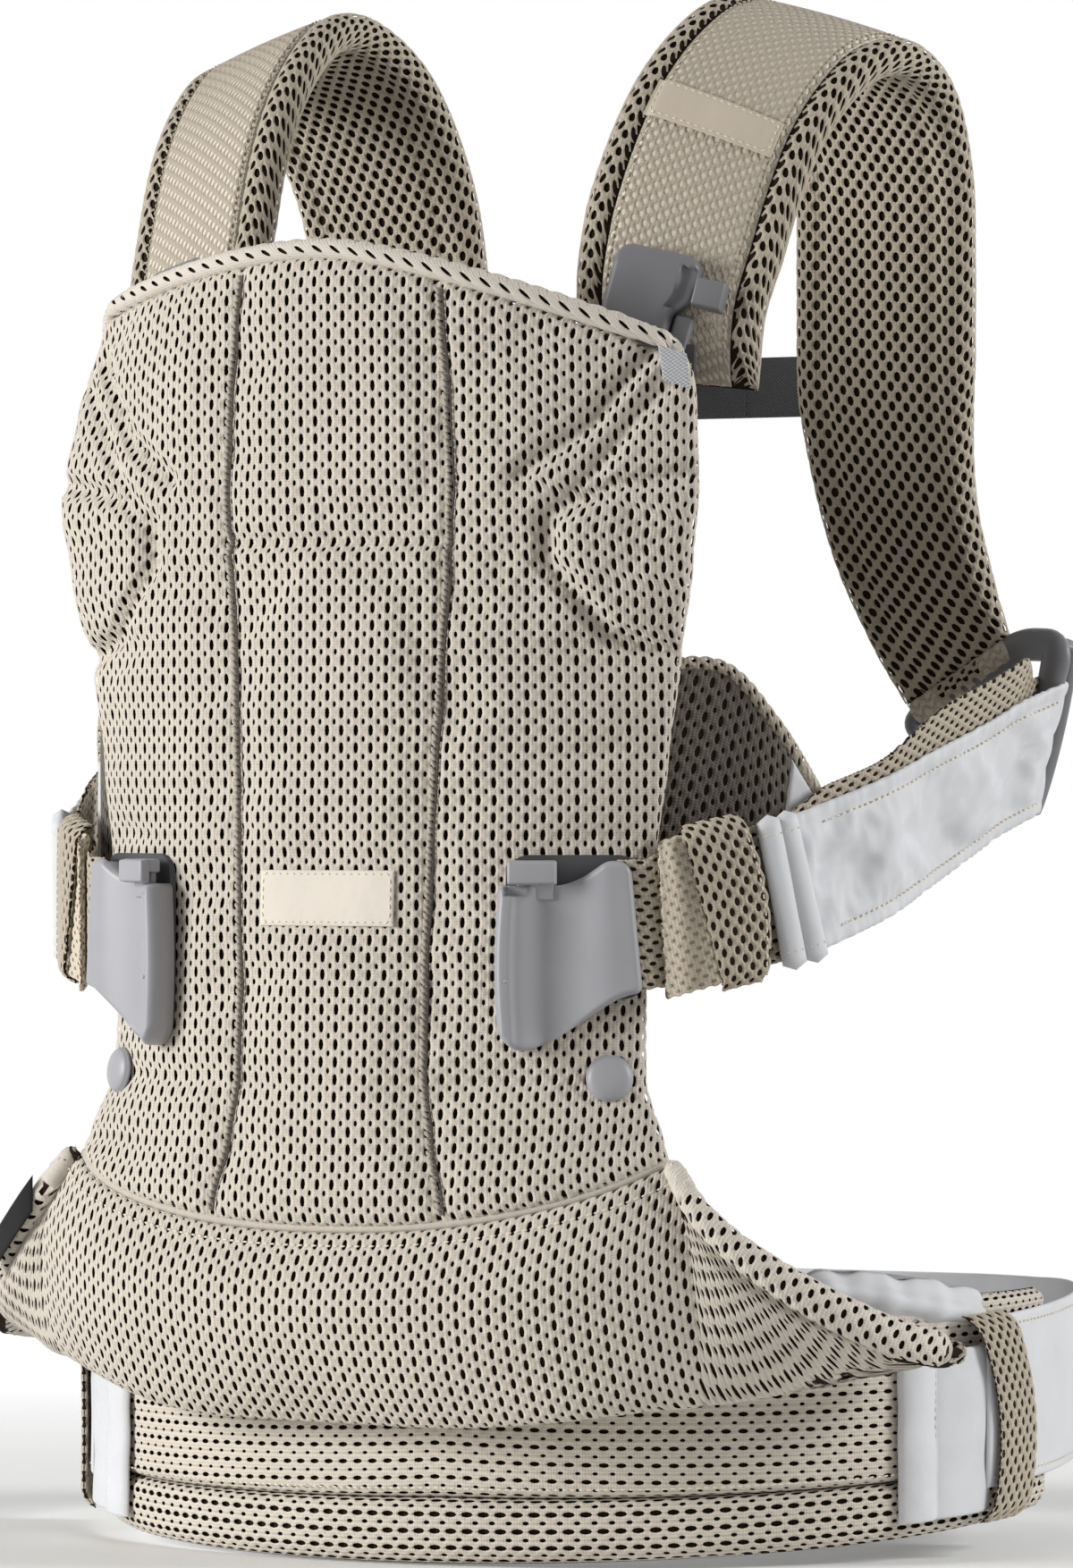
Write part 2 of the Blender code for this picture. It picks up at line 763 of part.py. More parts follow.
def build_shoulder_base(side):
    """The tongue that runs down from the clip behind the head support to the back of the panel."""
    sewn = behind_panel(0.68, 312, 2.6)
    centre = rail([
        SHOULDER_FRAME @ (Vector((-3, -13, 3.2)) * MM),
        SHOULDER_FRAME @ (Vector((-3, -23, 3.2)) * MM),
        place(99, -112, 398),
        place(97, -115, 360),
        sewn + Vector((0, 4 * MM, 22 * MM)),
        sewn,
    ])
    across = SHOULDER_FRAME.to_3x3() @ Vector((1, 0, 0))

    def surface(u, v):
        return centre(1 - v) + across * (u - 0.5) * 28 * MM

    name = side_name("shoulder_base", side)
    sheet(name, (1, 12), surface, 2.4, "dark_plastic", side, centred=True)


# Shoulder straps, back webbing and slider rings

STRAP_PATH = rail([
    SHOULDER_FRAME @ (Vector((0, -24, -STRAP_THICKNESS / 2 - 0.6)) * MM),
    SHOULDER_FRAME @ (Vector((0, 12, -STRAP_THICKNESS / 2 - 0.6)) * MM),
    place(104, -74, 498),
    place(109, -41, 528),
    place(112, -11, 534),
    place(110, 20, 520),
    place(106, 40, 488),
    place(103, 47, 451),
    place(102, 50, 409),
    place(107, 53, 363),
    place(119, 54, 329),
    place(130, 53, 308),
])
STRAP_ACROSS = rail([
    Vector((0.95, 0.28, -0.10)) * MM,
    Vector((0.94, 0.27, -0.20)) * MM,
    Vector((0.92, 0.22, -0.32)) * MM,
    Vector((0.93, 0.05, -0.36)) * MM,
    Vector((0.97, -0.04, -0.24)) * MM,
    Vector((1.00, -0.05, -0.03)) * MM,
    Vector((0.98, -0.02, 0.16)) * MM,
    Vector((0.84, 0.00, 0.50)) * MM,
])
STRAP_END_WIDTH = 0.66
WEBBING_LEVEL = 420.0


def strap_width(u):
    front = 0.86 + 0.14 * min(1.0, u * 8)
    back = 1.0 - (1.0 - STRAP_END_WIDTH) * max(0.0, (u - 0.74) / 0.26)
    return STRAP_WIDTH * min(front, back)


def strap_surface(u, v):
    """The middle of the strap: u runs from the clip over the shoulder to the ring, v outwards."""
    across = STRAP_ACROSS(u).normalized()
    return STRAP_PATH(u) + across * (v - 0.5) * strap_width(u) * MM


def build_shoulder_strap(side):
    def full(u, v):
        edge = max(0.0, 1 - min(v, 1 - v) / 0.2)
        end = max(0.0, 1 - min(2 * u, 1 - u) / 0.06)
        return 1.0 - max(0.22 * edge, 0.62 * end)

    sheet(side_name("shoulder_strap", side), (26, 4), strap_surface, STRAP_THICKNESS, "taupe_mesh", side, full,
          centred=True)


def build_back_webbing():
    shares = [0.5 + 0.01 * i for i in range(50)]
    edge = strap_surface(next(u for u in shares if STRAP_PATH(u).z < WEBBING_LEVEL * TALL * MM), 0.0)
    reach = edge.x / MM - 0.9

    def surface(u, v):
        bow = 2.5 * (1 - (2 * u - 1) ** 2)
        return Vector((reach * (1 - 2 * u), edge.y / MM + bow, edge.z / MM + WEBBING_HEIGHT * (v - 0.5))) * MM

    sheet("back_webbing", (8, 1), surface, 1.8, "dark_webbing", centred=True)


RING_TOP = place(171, 47, 306)
RING_FOOT = place(159, 47, 258)
SWING_PIVOT = (RING_TOP + RING_FOOT) / 2
RING_AXIS = (RING_TOP - RING_FOOT).normalized()


def build_ring(side):
    """A triangular loop: one leg takes the end of the shoulder strap, the upright leg takes the side strap."""
    strap_in = strap_surface(1.0, 0.0)
    strap_out = strap_surface(1.0, 1.0)
    along = (STRAP_PATH(1.0) - STRAP_PATH(0.97)).normalized()
    drop = along * (RING_BAR_RADIUS + 1.0) * MM
    reach = (strap_out - strap_in).normalized() * 3 * MM
    corners = [
        strap_in + drop - reach,
        strap_out + drop + reach,
        RING_TOP + RING_AXIS * 12 * MM,
        RING_FOOT - RING_AXIS * 12 * MM,
    ]
    points = []
    for i, corner in enumerate(corners):
        last, following = corners[i - 1], corners[(i + 1) % 4]
        turn = 6.0 * MM
        start = corner + (last - corner).normalized() * turn
        end = corner + (following - corner).normalized() * turn
        points += [start, (start + end) / 4 + corner / 2, end]
    tube(side_name("slider_ring", side), points, [RING_BAR_RADIUS] * len(points), "grey_plastic", side, True)


# Side straps and what is sewn to them

def clip_point(x, y, z):
    return SIDE_FRAME @ (Vector((x, y, z)) * MM)


STRAP_LIFT = SIDE_CLIP[2] / 2 + GAP + BAND_THICKNESS / 2 + 0.3
SIDE_RAIL = rail([
    clip_point(SIDE_CLIP[0] / 2 - 6.5, SLOT_RISE, STRAP_LIFT),
    clip_point(SIDE_CLIP[0] / 2 + 1, SLOT_RISE, STRAP_LIFT),
    place(123, -134, 223),
    place(135, -124, 227),
    place(147, -107, 231),
    place(154, -88, 237),
    place(161, -60, 246),
    place(163, -30, 256),
    place(165, 0, 266),
    place(166, 25, 275),
    SWING_PIVOT,
])


def side_run(u):
    step = 0.004
    return (SIDE_RAIL(min(u + step, 1.0)) - SIDE_RAIL(max(u - step, 0.0))).normalized()


def side_upward(u):
    """The direction of the strap's height, upright at the clip and along the ring's leg at the back."""
    return Vector((0, 0, 1)).lerp(RING_AXIS, max(0.0, u - 0.3) / 0.7).normalized()


def side_outward(u):
    return side_run(u).cross(side_upward(u)).normalized()


LOOP_RADIUS = RING_BAR_RADIUS + BAND_THICKNESS / 2 + 0.6
STOP_SHARE = 0.30


def layer_offset(u):
    """How far each layer of the side strap lies from the middle line between them."""
    close = BAND_THICKNESS / 2 + 0.3
    opening = max(0.0, (u - 0.86) / 0.14)
    return close + (LOOP_RADIUS - close) * opening * opening * (3 - 2 * opening)


def side_loop():
    """Middle line of the whole strap with its upward directions: in to the ring, round it and out again."""
    points = []
    for i in range(27):
        u = i / 26
        points.append((SIDE_RAIL(u) - side_outward(u) * layer_offset(u) * MM, side_upward(u)))
    out, up = side_outward(1.0), side_upward(1.0)
    run = up.cross(out)
    for i in range(1, 6):
        turn = pi * i / 6
        arm = run * sin(turn) - out * cos(turn)
        points.append((SIDE_RAIL(1.0) + arm * LOOP_RADIUS * MM, up))
    for i in range(19):
        u = 1.0 - (1.0 - STOP_SHARE) * i / 18
        points.append((SIDE_RAIL(u) + side_outward(u) * layer_offset(u) * MM, side_upward(u)))
    return points


def build_side_strap(side):
    loop = side_loop()
    last = len(loop) - 1

    def surface(u, v):
        i = round(u * last)
        point, up = loop[i]
        tall = min(SIDE_STRAP_HEIGHT, CLIP_SLOT - 2.0 + 1.5 * i)
        return point + up * (v - 0.5) * tall * MM

    name = side_name("side_strap", side)
    sheet(name, (last, 2), surface, BAND_THICKNESS, "grey_cloth", side, centred=True, pivot=SWING_PIVOT)


def side_span(start, end, height, off):
    """A surface outside the side strap between two shares of its length."""

    def at(u, v):
        w = start + (end - start) * u
        return SIDE_RAIL(w) + (side_outward(w) * off + side_upward(w) * (v - 0.5) * height) * MM

    return at


def build_strap_fittings(side):
    fold = side_span(0.055, 0.115, 64, 3.2)
    sheet(side_name("strap_fold", side), (3, 1), fold, 2.6, "grey_cloth", side, pivot=SWING_PIVOT)
    keeper = closed_loop(side_span(0.125, 0.212, 70, 3.0), 6.6)
    sheet(side_name("side_keeper", side), (4, 10), keeper, 2.4, "cream_mesh", side, pivot=SWING_PIVOT)

    def rolls(u, v):
        return 0.35 + 0.65 * abs(sin(2 * pi * u)) ** 0.5

    stop_surface = side_span(0.222, 0.292, 60, 4.2)

    def doubled(u, v):
        fullness = abs(sin(2 * pi * u)) ** 0.5
        return stop_surface(u, v) + facing(stop_surface, u, 0.5) * 2.6 * fullness * MM

    sheet(side_name("strap_stop", side), (8, 2), doubled, 6.6, "grey_cloth", side, rolls, pivot=SWING_PIVOT)


WING_LOW = rail([behind_panel(0.82, 240, 2.4), place(122, -112, 236), place(138, -100, 234), place(149, -84, 236)])
WING_HIGH = rail([behind_panel(0.82, 306, 2.4), place(124, -111, 309), place(139, -99, 290), place(149, -82, 262)])


def build_wing(side):
    def surface(u, v):
        return WING_LOW(u).lerp(WING_HIGH(u), v)

    sheet(side_name("side_wing", side), (8, 5), surface, 3.4, "beige_mesh", side, centred=True)


# Snap fasteners and labels

SNAP_SHARE, SNAP_HEIGHT = 0.90, 166.0


def snap_frame():
    out = panel_outward(SNAP_SHARE, SNAP_HEIGHT, False)
    return local_frame(panel_point(SNAP_SHARE, SNAP_HEIGHT) + out * 0.7 * MM, out)


def turned(name, profile, frame, colour, side):
    """A round piece swept from a profile of radius and height, about the frame's outward direction."""
    shape = bmesh.new()
    verts = [shape.verts.new(Vector((r, 0, h)) * MM) for r, h in profile]
    for a, b in zip(verts, verts[1:]):
        shape.edges.new((a, b))
    mesh = bpy.data.meshes.new(name)
    shape.to_mesh(mesh)
    shape.free()
    item = add_object(name, mesh, colour)
    out = mirrored(frame.to_3x3() @ Vector((0, 0, 1)), side)
    item.matrix_world = local_frame(mirrored(frame.translation, side), out)
    sweep = item.modifiers.new("sweep", "SCREW")
    sweep.steps = sweep.render_steps = 20
    sweep.use_merge_vertices = True
    sweep.merge_threshold = 0.00005
    sweep.use_normal_calculate = True
    return item


def build_snap(side):
    r = SNAP_RADIUS
    frame = snap_frame()
    stud = [(0, -0.2), (r * 0.72, -0.2), (r * 0.72, 0.6), (3.6, 0.8), (3.6, 2.4), (0, 2.4)]
    turned(side_name("snap_stud", side), stud, frame, "dark_plastic", side)
    cap = [
        (0, 2.9), (4.2, 2.9), (4.2, 1.1), (r * 0.9, 1.1), (r, 1.6), (r, 2.6),
        (r * 0.86, 3.8), (r * 0.5, 4.6), (0, 4.9),
    ]
    turned(side_name("snap_cap", side), cap, frame, "grey_plastic", side)


def build_labels():
    def chest(u, v):
        height = 218.5 + 19.5 * v
        share = 27.5 * (2 * u - 1) / between(PANEL_ROWS, height)[0]
        return panel_point(share, height) + Vector((0, -1.5 * MM, 0))

    sheet("chest_label", (8, 1), chest, 1.0, "cream_label")
    # The strap's own normals point at the wearer, so the label on its outer face is a negative lift
    face = lifted(strap_surface, -STRAP_THICKNESS / 2 - 1.1)

    def strap(u, v):
        return face(0.205 + 0.034 * v, 0.14 + 0.68 * u)

    sheet("strap_label", (6, 2), strap, 0.9, "taupe_mesh")

    def tab(u, v):
        t = 0.12 + 0.24 * v
        out = seat_outward(SEAT_SEAM_SHARE + (1 - SEAT_SEAM_SHARE) * t)
        lift = out * (leg_radius(t) + 2.0) + Vector((0, 0, 13 * (u - 0.5)))
        return LEG_EDGE(t) + lift * MM

    sheet("side_tag", (2, 3), tab, 1.2, "black_tape", -1)

    def corner(u, v):
        share = 0.925 + 0.065 * u
        height = head_top(share) - 9 + 14 * v
        return panel_point(share, height) + panel_outward(share, height) * 3.3 * MM

    sheet("corner_tag", (2, 1), corner, 1.0, "cream_label", pivot=FOLD_PIVOT)


# The whole carrier

build_panel()
build_seat()
build_belt()
build_waist_buckle()
build_back_webbing()
for hand in (1, -1):
    build_gusset(hand)
    build_leg_roll(hand)
    build_waist_side(hand)
    build_shoulder_strap(hand)
    build_ring(hand)
    build_side_strap(hand)
    build_strap_fittings(hand)
    build_wing(hand)
    build_side_buckle(hand)
    build_shoulder_buckle(hand)
    build_snap(hand)
build_labels()
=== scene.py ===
"""Soft baby carrier: the look of every piece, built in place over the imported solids.

Run as a script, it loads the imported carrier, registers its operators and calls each.
The tables hold millimetres. Meshes are in metres, with the front towards -Y and +Z up.
"""

from functools import lru_cache
from math import cos, exp, pi, radians, sin, sqrt

import bmesh
import bpy
from mathutils import Matrix, Vector


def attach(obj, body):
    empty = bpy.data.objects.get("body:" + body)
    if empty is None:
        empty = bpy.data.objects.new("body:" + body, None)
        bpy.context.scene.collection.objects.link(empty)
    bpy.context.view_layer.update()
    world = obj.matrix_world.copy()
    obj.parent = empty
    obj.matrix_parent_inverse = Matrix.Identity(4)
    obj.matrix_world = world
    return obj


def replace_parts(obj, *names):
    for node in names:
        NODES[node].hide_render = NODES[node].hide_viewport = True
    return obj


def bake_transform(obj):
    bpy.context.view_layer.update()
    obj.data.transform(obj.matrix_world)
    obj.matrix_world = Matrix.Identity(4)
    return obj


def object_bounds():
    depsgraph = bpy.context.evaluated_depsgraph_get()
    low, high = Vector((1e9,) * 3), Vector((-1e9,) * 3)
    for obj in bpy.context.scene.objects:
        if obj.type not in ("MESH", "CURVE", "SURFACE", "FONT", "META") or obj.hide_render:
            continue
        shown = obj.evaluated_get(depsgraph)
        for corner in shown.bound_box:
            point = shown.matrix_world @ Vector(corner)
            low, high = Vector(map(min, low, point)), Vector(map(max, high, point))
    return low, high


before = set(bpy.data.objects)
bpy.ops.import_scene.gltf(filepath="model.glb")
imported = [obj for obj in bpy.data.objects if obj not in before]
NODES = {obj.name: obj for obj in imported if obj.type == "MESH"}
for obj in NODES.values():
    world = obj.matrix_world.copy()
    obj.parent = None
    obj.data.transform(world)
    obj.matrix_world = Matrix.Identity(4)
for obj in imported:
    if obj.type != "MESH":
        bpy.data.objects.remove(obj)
CAD_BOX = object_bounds()

bl_info = {
    "name": "Soft baby carrier",
    "version": (1, 0, 0),
    "blender": (4, 5, 0),
    "location": "3D View > Sidebar > Carrier",
    "description": "Builds the mesh cloth, padding, straps and clips of a soft baby carrier",
    "category": "Object",
}

MM = 0.001


# Sizes and colours that can be changed

def from_hex(code):
    """The linear colour of an sRGB hex value."""
    shares = [int(code[i:i + 2], 16) / 255 for i in (0, 2, 4)]
    return tuple(s / 12.92 if s <= 0.04045 else ((s + 0.055) / 1.055) ** 2.4 for s in shares)


def length(title, about, default):
    return bpy.props.FloatProperty(name=title, description=about, default=default * MM, unit="LENGTH",
                                   precision=4)


def colour(title, about, code):
    return bpy.props.FloatVectorProperty(name=title, description=about, default=from_hex(code),
                                         subtype="COLOR", min=0.0, max=1.0)


class CarrierSizes(bpy.types.PropertyGroup):
    """Sizes of the cloth and its sewing."""

    hole_across: length("Hole pitch across", "Distance between hole columns of the spacer mesh", 5.9)
    hole_up: length("Hole pitch up", "Distance between hole rows of the spacer mesh", 6.1)
    hole_width: length("Hole width", "Width of a large hole in the spacer mesh", 1.9)
    hole_height: length("Hole height", "Height of a large hole in the spacer mesh", 4.2)
    eyelet_width: length("Eyelet width", "Width of a small hole in the spacer mesh", 1.35)
    eyelet_height: length("Eyelet height", "Height of a small hole in the spacer mesh", 2.2)
    relief: length("Mesh relief", "How far the mesh dips at a hole", 0.34)
    stitch: length("Stitch pitch", "Distance between stitches of the top stitching", 2.9)
    twist: length("Seam twist pitch", "Distance between turns of the corded seams on the panel", 2.3)


class CarrierColours(bpy.types.PropertyGroup):
    """Colours of the materials."""

    mesh: colour("Mesh", "Yarn of the spacer mesh", "D7CDBF")
    binding: colour("Binding", "Yarn of the padded bindings", "DED5C8")
    strap: colour("Strap mesh", "Yarn of the shoulder and side strap mesh", "C3B7A4")
    dots: colour("Strap dots", "Raised dots on the shoulder straps", "E6DCCB")
    # The core's colour is painted shade: the dark deep in the holes of the spacer mesh
    core: colour("Core", "Shaded inside of the spacer mesh", "2A211A")
    cloth: colour("Grey cloth", "Smooth cloth of the straps and sleeves", "D3D4D7")
    plastic: colour("Clips", "Moulded clips, rings and snaps", "9D9DA1")
    dark_plastic: colour("Hidden plastic", "Buckle bases behind the cloth", "3A3A3D")
    webbing: colour("Webbing", "Woven band between the straps", "55565A")
    label: colour("Label", "Woven label on the chest", "DFD6C9")
    tape: colour("Side tag", "Folded tag on the leg opening", "111113")
    thread: colour("Thread", "Top stitching", "E8DFCE")


def sizes():
    return bpy.context.scene.carrier_sizes


def colours():
    return bpy.context.scene.carrier_colours


# Node trees

MATH = "ShaderNodeMath"
VECTOR = "ShaderNodeVectorMath"
MIX = "ShaderNodeMix"
STORE = "GeometryNodeStoreNamedAttribute"
NAMED = "GeometryNodeInputNamedAttribute"


def add(tree, kind, inputs=(), take=None, **settings):
    """One node with its settings, or the output of it that take names.

    An input takes a plain value or another node's output, by its name or, in a row of inputs, by its place.
    """
    node = tree.nodes.new(kind)
    for name, value in settings.items():
        setattr(node, name, value)
    for key, value in inputs.items() if isinstance(inputs, dict) else enumerate(inputs):
        if isinstance(value, bpy.types.NodeSocket):
            tree.links.new(value, node.inputs[key])
        else:
            node.inputs[key].default_value = value
    return node if take is None else node.outputs[take]


def new_tree(name, floats, whole=()):
    """A geometry tree with named inputs, its input node and a call that links the result to its output."""
    tree = bpy.data.node_groups.new(name, "GeometryNodeTree")
    sockets = tree.interface
    sockets.new_socket("Geometry", in_out="INPUT", socket_type="NodeSocketGeometry")
    for title in floats:
        sockets.new_socket(title, in_out="INPUT", socket_type="NodeSocketFloat")
    for title in whole:
        sockets.new_socket(title, in_out="INPUT", socket_type="NodeSocketInt")
    sockets.new_socket("Material", in_out="INPUT", socket_type="NodeSocketMaterial")
    sockets.new_socket("Geometry", in_out="OUTPUT", socket_type="NodeSocketGeometry")
    start = add(tree, "NodeGroupInput").outputs

    def close(result):
        smooth = add(tree, "GeometryNodeSetShadeSmooth", (result,), 0)
        painted = {"Geometry": smooth, "Material": start["Material"]}
        add(tree, "NodeGroupOutput", (add(tree, "GeometryNodeSetMaterial", painted, 0),))
        return tree

    return tree, start, close


def hole_cell(tree, start, width, height):
    """One diamond of mesh cloth with an oval hole: its outline meets the next diamonds, its rim dips."""
    ring = add(tree, "GeometryNodeMeshCylinder",
               {"Vertices": 8, "Side Segments": 2, "Radius": 1.0, "Depth": 1.0}, 0, fill_type="NONE")
    spot = add(tree, "GeometryNodeInputPosition", take=0)
    inward = add(tree, MATH, (add(tree, "ShaderNodeSeparateXYZ", (spot,), "Z"), 0.5), 0, operation="ADD")
    spread = add(tree, VECTOR, (spot,), 0, operation="ABSOLUTE")
    reach = add(tree, VECTOR, (spread, (1, 1, 0)), "Value", operation="DOT_PRODUCT")
    pitch = add(tree, "ShaderNodeCombineXYZ", (start["Pitch Across"], start["Pitch Up"]), 0)
    hole = add(tree, "ShaderNodeCombineXYZ", (start[width], start[height]), 0)
    half_pitch, half_hole = (add(tree, VECTOR, (v, (0.5, 0.5, 0)), 0, operation="MULTIPLY") for v in (pitch, hole))
    corner = add(tree, VECTOR, (spot, reach), 0, operation="DIVIDE")
    edge = add(tree, VECTOR, (corner, half_pitch), 0, operation="MULTIPLY")
    rim = add(tree, VECTOR, (spot, half_hole), 0, operation="MULTIPLY")
    gap = add(tree, VECTOR, (rim, edge), 0, operation="SUBTRACT")
    step = add(tree, VECTOR, (gap, inward), 0, operation="MULTIPLY")
    flat = add(tree, VECTOR, (edge, step), 0, operation="ADD")
    share = add(tree, MATH, (inward, 2.2), 0, operation="POWER")
    dip = add(tree, MATH, (share, start["Relief"]), 0, operation="MULTIPLY")
    down = add(tree, "ShaderNodeCombineXYZ", {2: dip}, 0)
    moved = add(tree, VECTOR, (flat, down), 0, operation="SUBTRACT")
    shaped = add(tree, "GeometryNodeSetPosition", {"Geometry": ring, "Position": moved}, 0)
    return add(tree, STORE, {"Geometry": shaped, "Name": "rim", "Value": inward}, 0,
               data_type="FLOAT", domain="POINT")


def hole_layer(tree, start, width, height, shift):
    """A lattice of one kind of hole, moved on by a share of the pitch."""
    pitch = add(tree, "ShaderNodeCombineXYZ", (start["Pitch Across"], start["Pitch Up"]), 0)
    count = add(tree, "ShaderNodeCombineXYZ", (start["Columns"], start["Rows"]), 0)
    begin = add(tree, "ShaderNodeCombineXYZ", (start["Start Across"], start["Start Up"]), 0)
    span = add(tree, VECTOR, (pitch, count), 0, operation="MULTIPLY")
    wide, tall, _ = add(tree, "ShaderNodeSeparateXYZ", (span,)).outputs
    columns, rows = (add(tree, MATH, (start[title], 1), 0, operation="ADD") for title in ("Columns", "Rows"))
    lattice = add(tree, "GeometryNodeMeshGrid",
                  {"Size X": wide, "Size Y": tall, "Vertices X": columns, "Vertices Y": rows}, 0)
    half = add(tree, VECTOR, (span, (0.5, 0.5, 0)), 0, operation="MULTIPLY")
    middle = add(tree, VECTOR, (begin, half), 0, operation="ADD")
    step = add(tree, VECTOR, (pitch, (shift, shift, 0)), 0, operation="MULTIPLY")
    offset = add(tree, VECTOR, (middle, step), 0, operation="ADD")
    placed = add(tree, "GeometryNodeTransform", {"Geometry": lattice, "Translation": offset}, 0)
    cell = hole_cell(tree, start, width, height)
    copies = add(tree, "GeometryNodeInstanceOnPoints", {"Points": placed, "Instance": cell}, 0)
    return add(tree, "GeometryNodeRealizeInstances", (copies,), 0)


def perforated_tree():
    """Mesh cloth: rows of large holes with small ones between, laid on a net by its flat pattern."""
    tree, start, close = new_tree(
        "perforated_cloth",
        ("Pitch Across", "Pitch Up", "Hole Width", "Hole Height", "Eyelet Width", "Eyelet Height", "Relief",
         "Start Across", "Start Up"),
        ("Columns", "Rows"),
    )
    both = add(tree, "GeometryNodeJoinGeometry", (hole_layer(tree, start, "Hole Width", "Hole Height", 0.0),))
    tree.links.new(hole_layer(tree, start, "Eyelet Width", "Eyelet Height", 0.5), both.inputs[0])
    whole = add(tree, "GeometryNodeMergeByDistance", {"Geometry": both.outputs[0], "Distance": 0.00005}, 0)
    spot = add(tree, "GeometryNodeInputPosition", take=0)
    kept = add(tree, STORE, {"Geometry": whole, "Name": "thread", "Value": spot}, 0,
               data_type="FLOAT_VECTOR", domain="POINT")
    pattern, outward, thread = (
        add(tree, NAMED, {"Name": name}, 0, data_type="FLOAT_VECTOR")
        for name in ("cloth", "out", "thread")
    )
    base, lean = (
        add(tree, "GeometryNodeSampleUVSurface",
            {"Mesh": start["Geometry"], "Value": value, "UV Map": pattern, "Sample UV": thread},
            data_type="FLOAT_VECTOR").outputs
        for value in (spot, outward)
    )
    missed = add(tree, "FunctionNodeBooleanMath", (base["Is Valid"],), 0, operation="NOT")
    height = add(tree, "ShaderNodeSeparateXYZ", (thread,), "Z")
    lift = add(tree, VECTOR, {0: lean[0], "Scale": height}, 0, operation="SCALE")
    landed = add(tree, VECTOR, (base[0], lift), 0, operation="ADD")
    marked = add(tree, STORE, {"Geometry": kept, "Name": "off", "Value": missed}, 0,
                 data_type="BOOLEAN", domain="POINT")
    laid = add(tree, "GeometryNodeSetPosition", {"Geometry": marked, "Position": landed}, 0)
    off_cloth = add(tree, NAMED, {"Name": "off"}, 0, data_type="BOOLEAN")
    trimmed = {"Geometry": laid, "Selection": off_cloth}
    return close(add(tree, "GeometryNodeDeleteGeometry", trimmed, 0, domain="POINT"))


def row_tree():
    """Stitches, or turns of a corded seam: small rounded lumps along a line, each lying on the cloth."""
    tree, start, close = new_tree("stitch_row", ("Pitch", "Length", "Width", "Rise", "Slant"))
    line = add(tree, "GeometryNodeMeshToCurve", {"Mesh": start["Geometry"]}, 0)
    even = add(tree, "GeometryNodeResampleCurve", {"Curve": line, "Length": start["Pitch"]}, 0, mode="LENGTH")
    lump = add(tree, "GeometryNodeMeshUVSphere", {"Segments": 6, "Rings": 4, "Radius": 0.5}, 0)
    outward = add(tree, NAMED, {"Name": "out"}, 0, data_type="FLOAT_VECTOR")
    along = add(tree, "GeometryNodeInputTangent", take=0)
    lying = add(tree, "FunctionNodeAxesToRotation", {"Primary Axis": outward, "Secondary Axis": along}, 0,
                primary_axis="Z", secondary_axis="X")
    lean = add(tree, "ShaderNodeCombineXYZ", {2: start["Slant"]}, 0)
    aslant = add(tree, "FunctionNodeEulerToRotation", (lean,), 0)
    turned = add(tree, "FunctionNodeRotateRotation", {"Rotation": lying, "Rotate By": aslant}, 0,
                 rotation_space="LOCAL")
    size = add(tree, "ShaderNodeCombineXYZ", (start["Length"], start["Width"], start["Rise"]), 0)
    copies = add(tree, "GeometryNodeInstanceOnPoints",
                 {"Points": even, "Instance": lump, "Rotation": turned, "Scale": size}, 0)
    return close(add(tree, "GeometryNodeRealizeInstances", (copies,), 0))


def grown(name, base, tree, values, material):
    """The plain mesh that a geometry tree makes from a base object, which is then removed."""
    grower = base.modifiers.new("grower", "NODES")
    grower.node_group = tree
    identifiers = {s.name: s.identifier for s in tree.interface.items_tree if s.in_out == "INPUT"}
    for title, value in values.items():
        grower[identifiers[title]] = value
    grower[identifiers["Material"]] = material
    depsgraph = bpy.context.evaluated_depsgraph_get()
    mesh = bpy.data.meshes.new_from_object(base.evaluated_get(depsgraph), depsgraph=depsgraph)
    mesh.name = name
    bpy.data.objects.remove(base, do_unlink=True)
    if not mesh.polygons:
        raise RuntimeError(f"{name}: the geometry tree made nothing")
    return add_piece(name, mesh)


def tree_named(name):
    makers = {"perforated_cloth": perforated_tree, "stitch_row": row_tree}
    return bpy.data.node_groups.get(name) or makers[name]()


# Materials

def shader_for(name, colour_value, roughness):
    """A new material, its tree and its Principled shader."""
    made = bpy.data.materials.new(name)
    made.use_nodes = True
    tree = made.node_tree
    shader = tree.nodes["Principled BSDF"]
    shader.inputs["Base Color"].default_value = (*colour_value, 1.0)
    shader.inputs["Roughness"].default_value = roughness
    made.diffuse_color = (*colour_value, 1.0)
    return made, tree, shader


def shaded(value, share):
    return tuple(c * share for c in value)


def opaque(value, share):
    return (*shaded(value, share), 1.0)


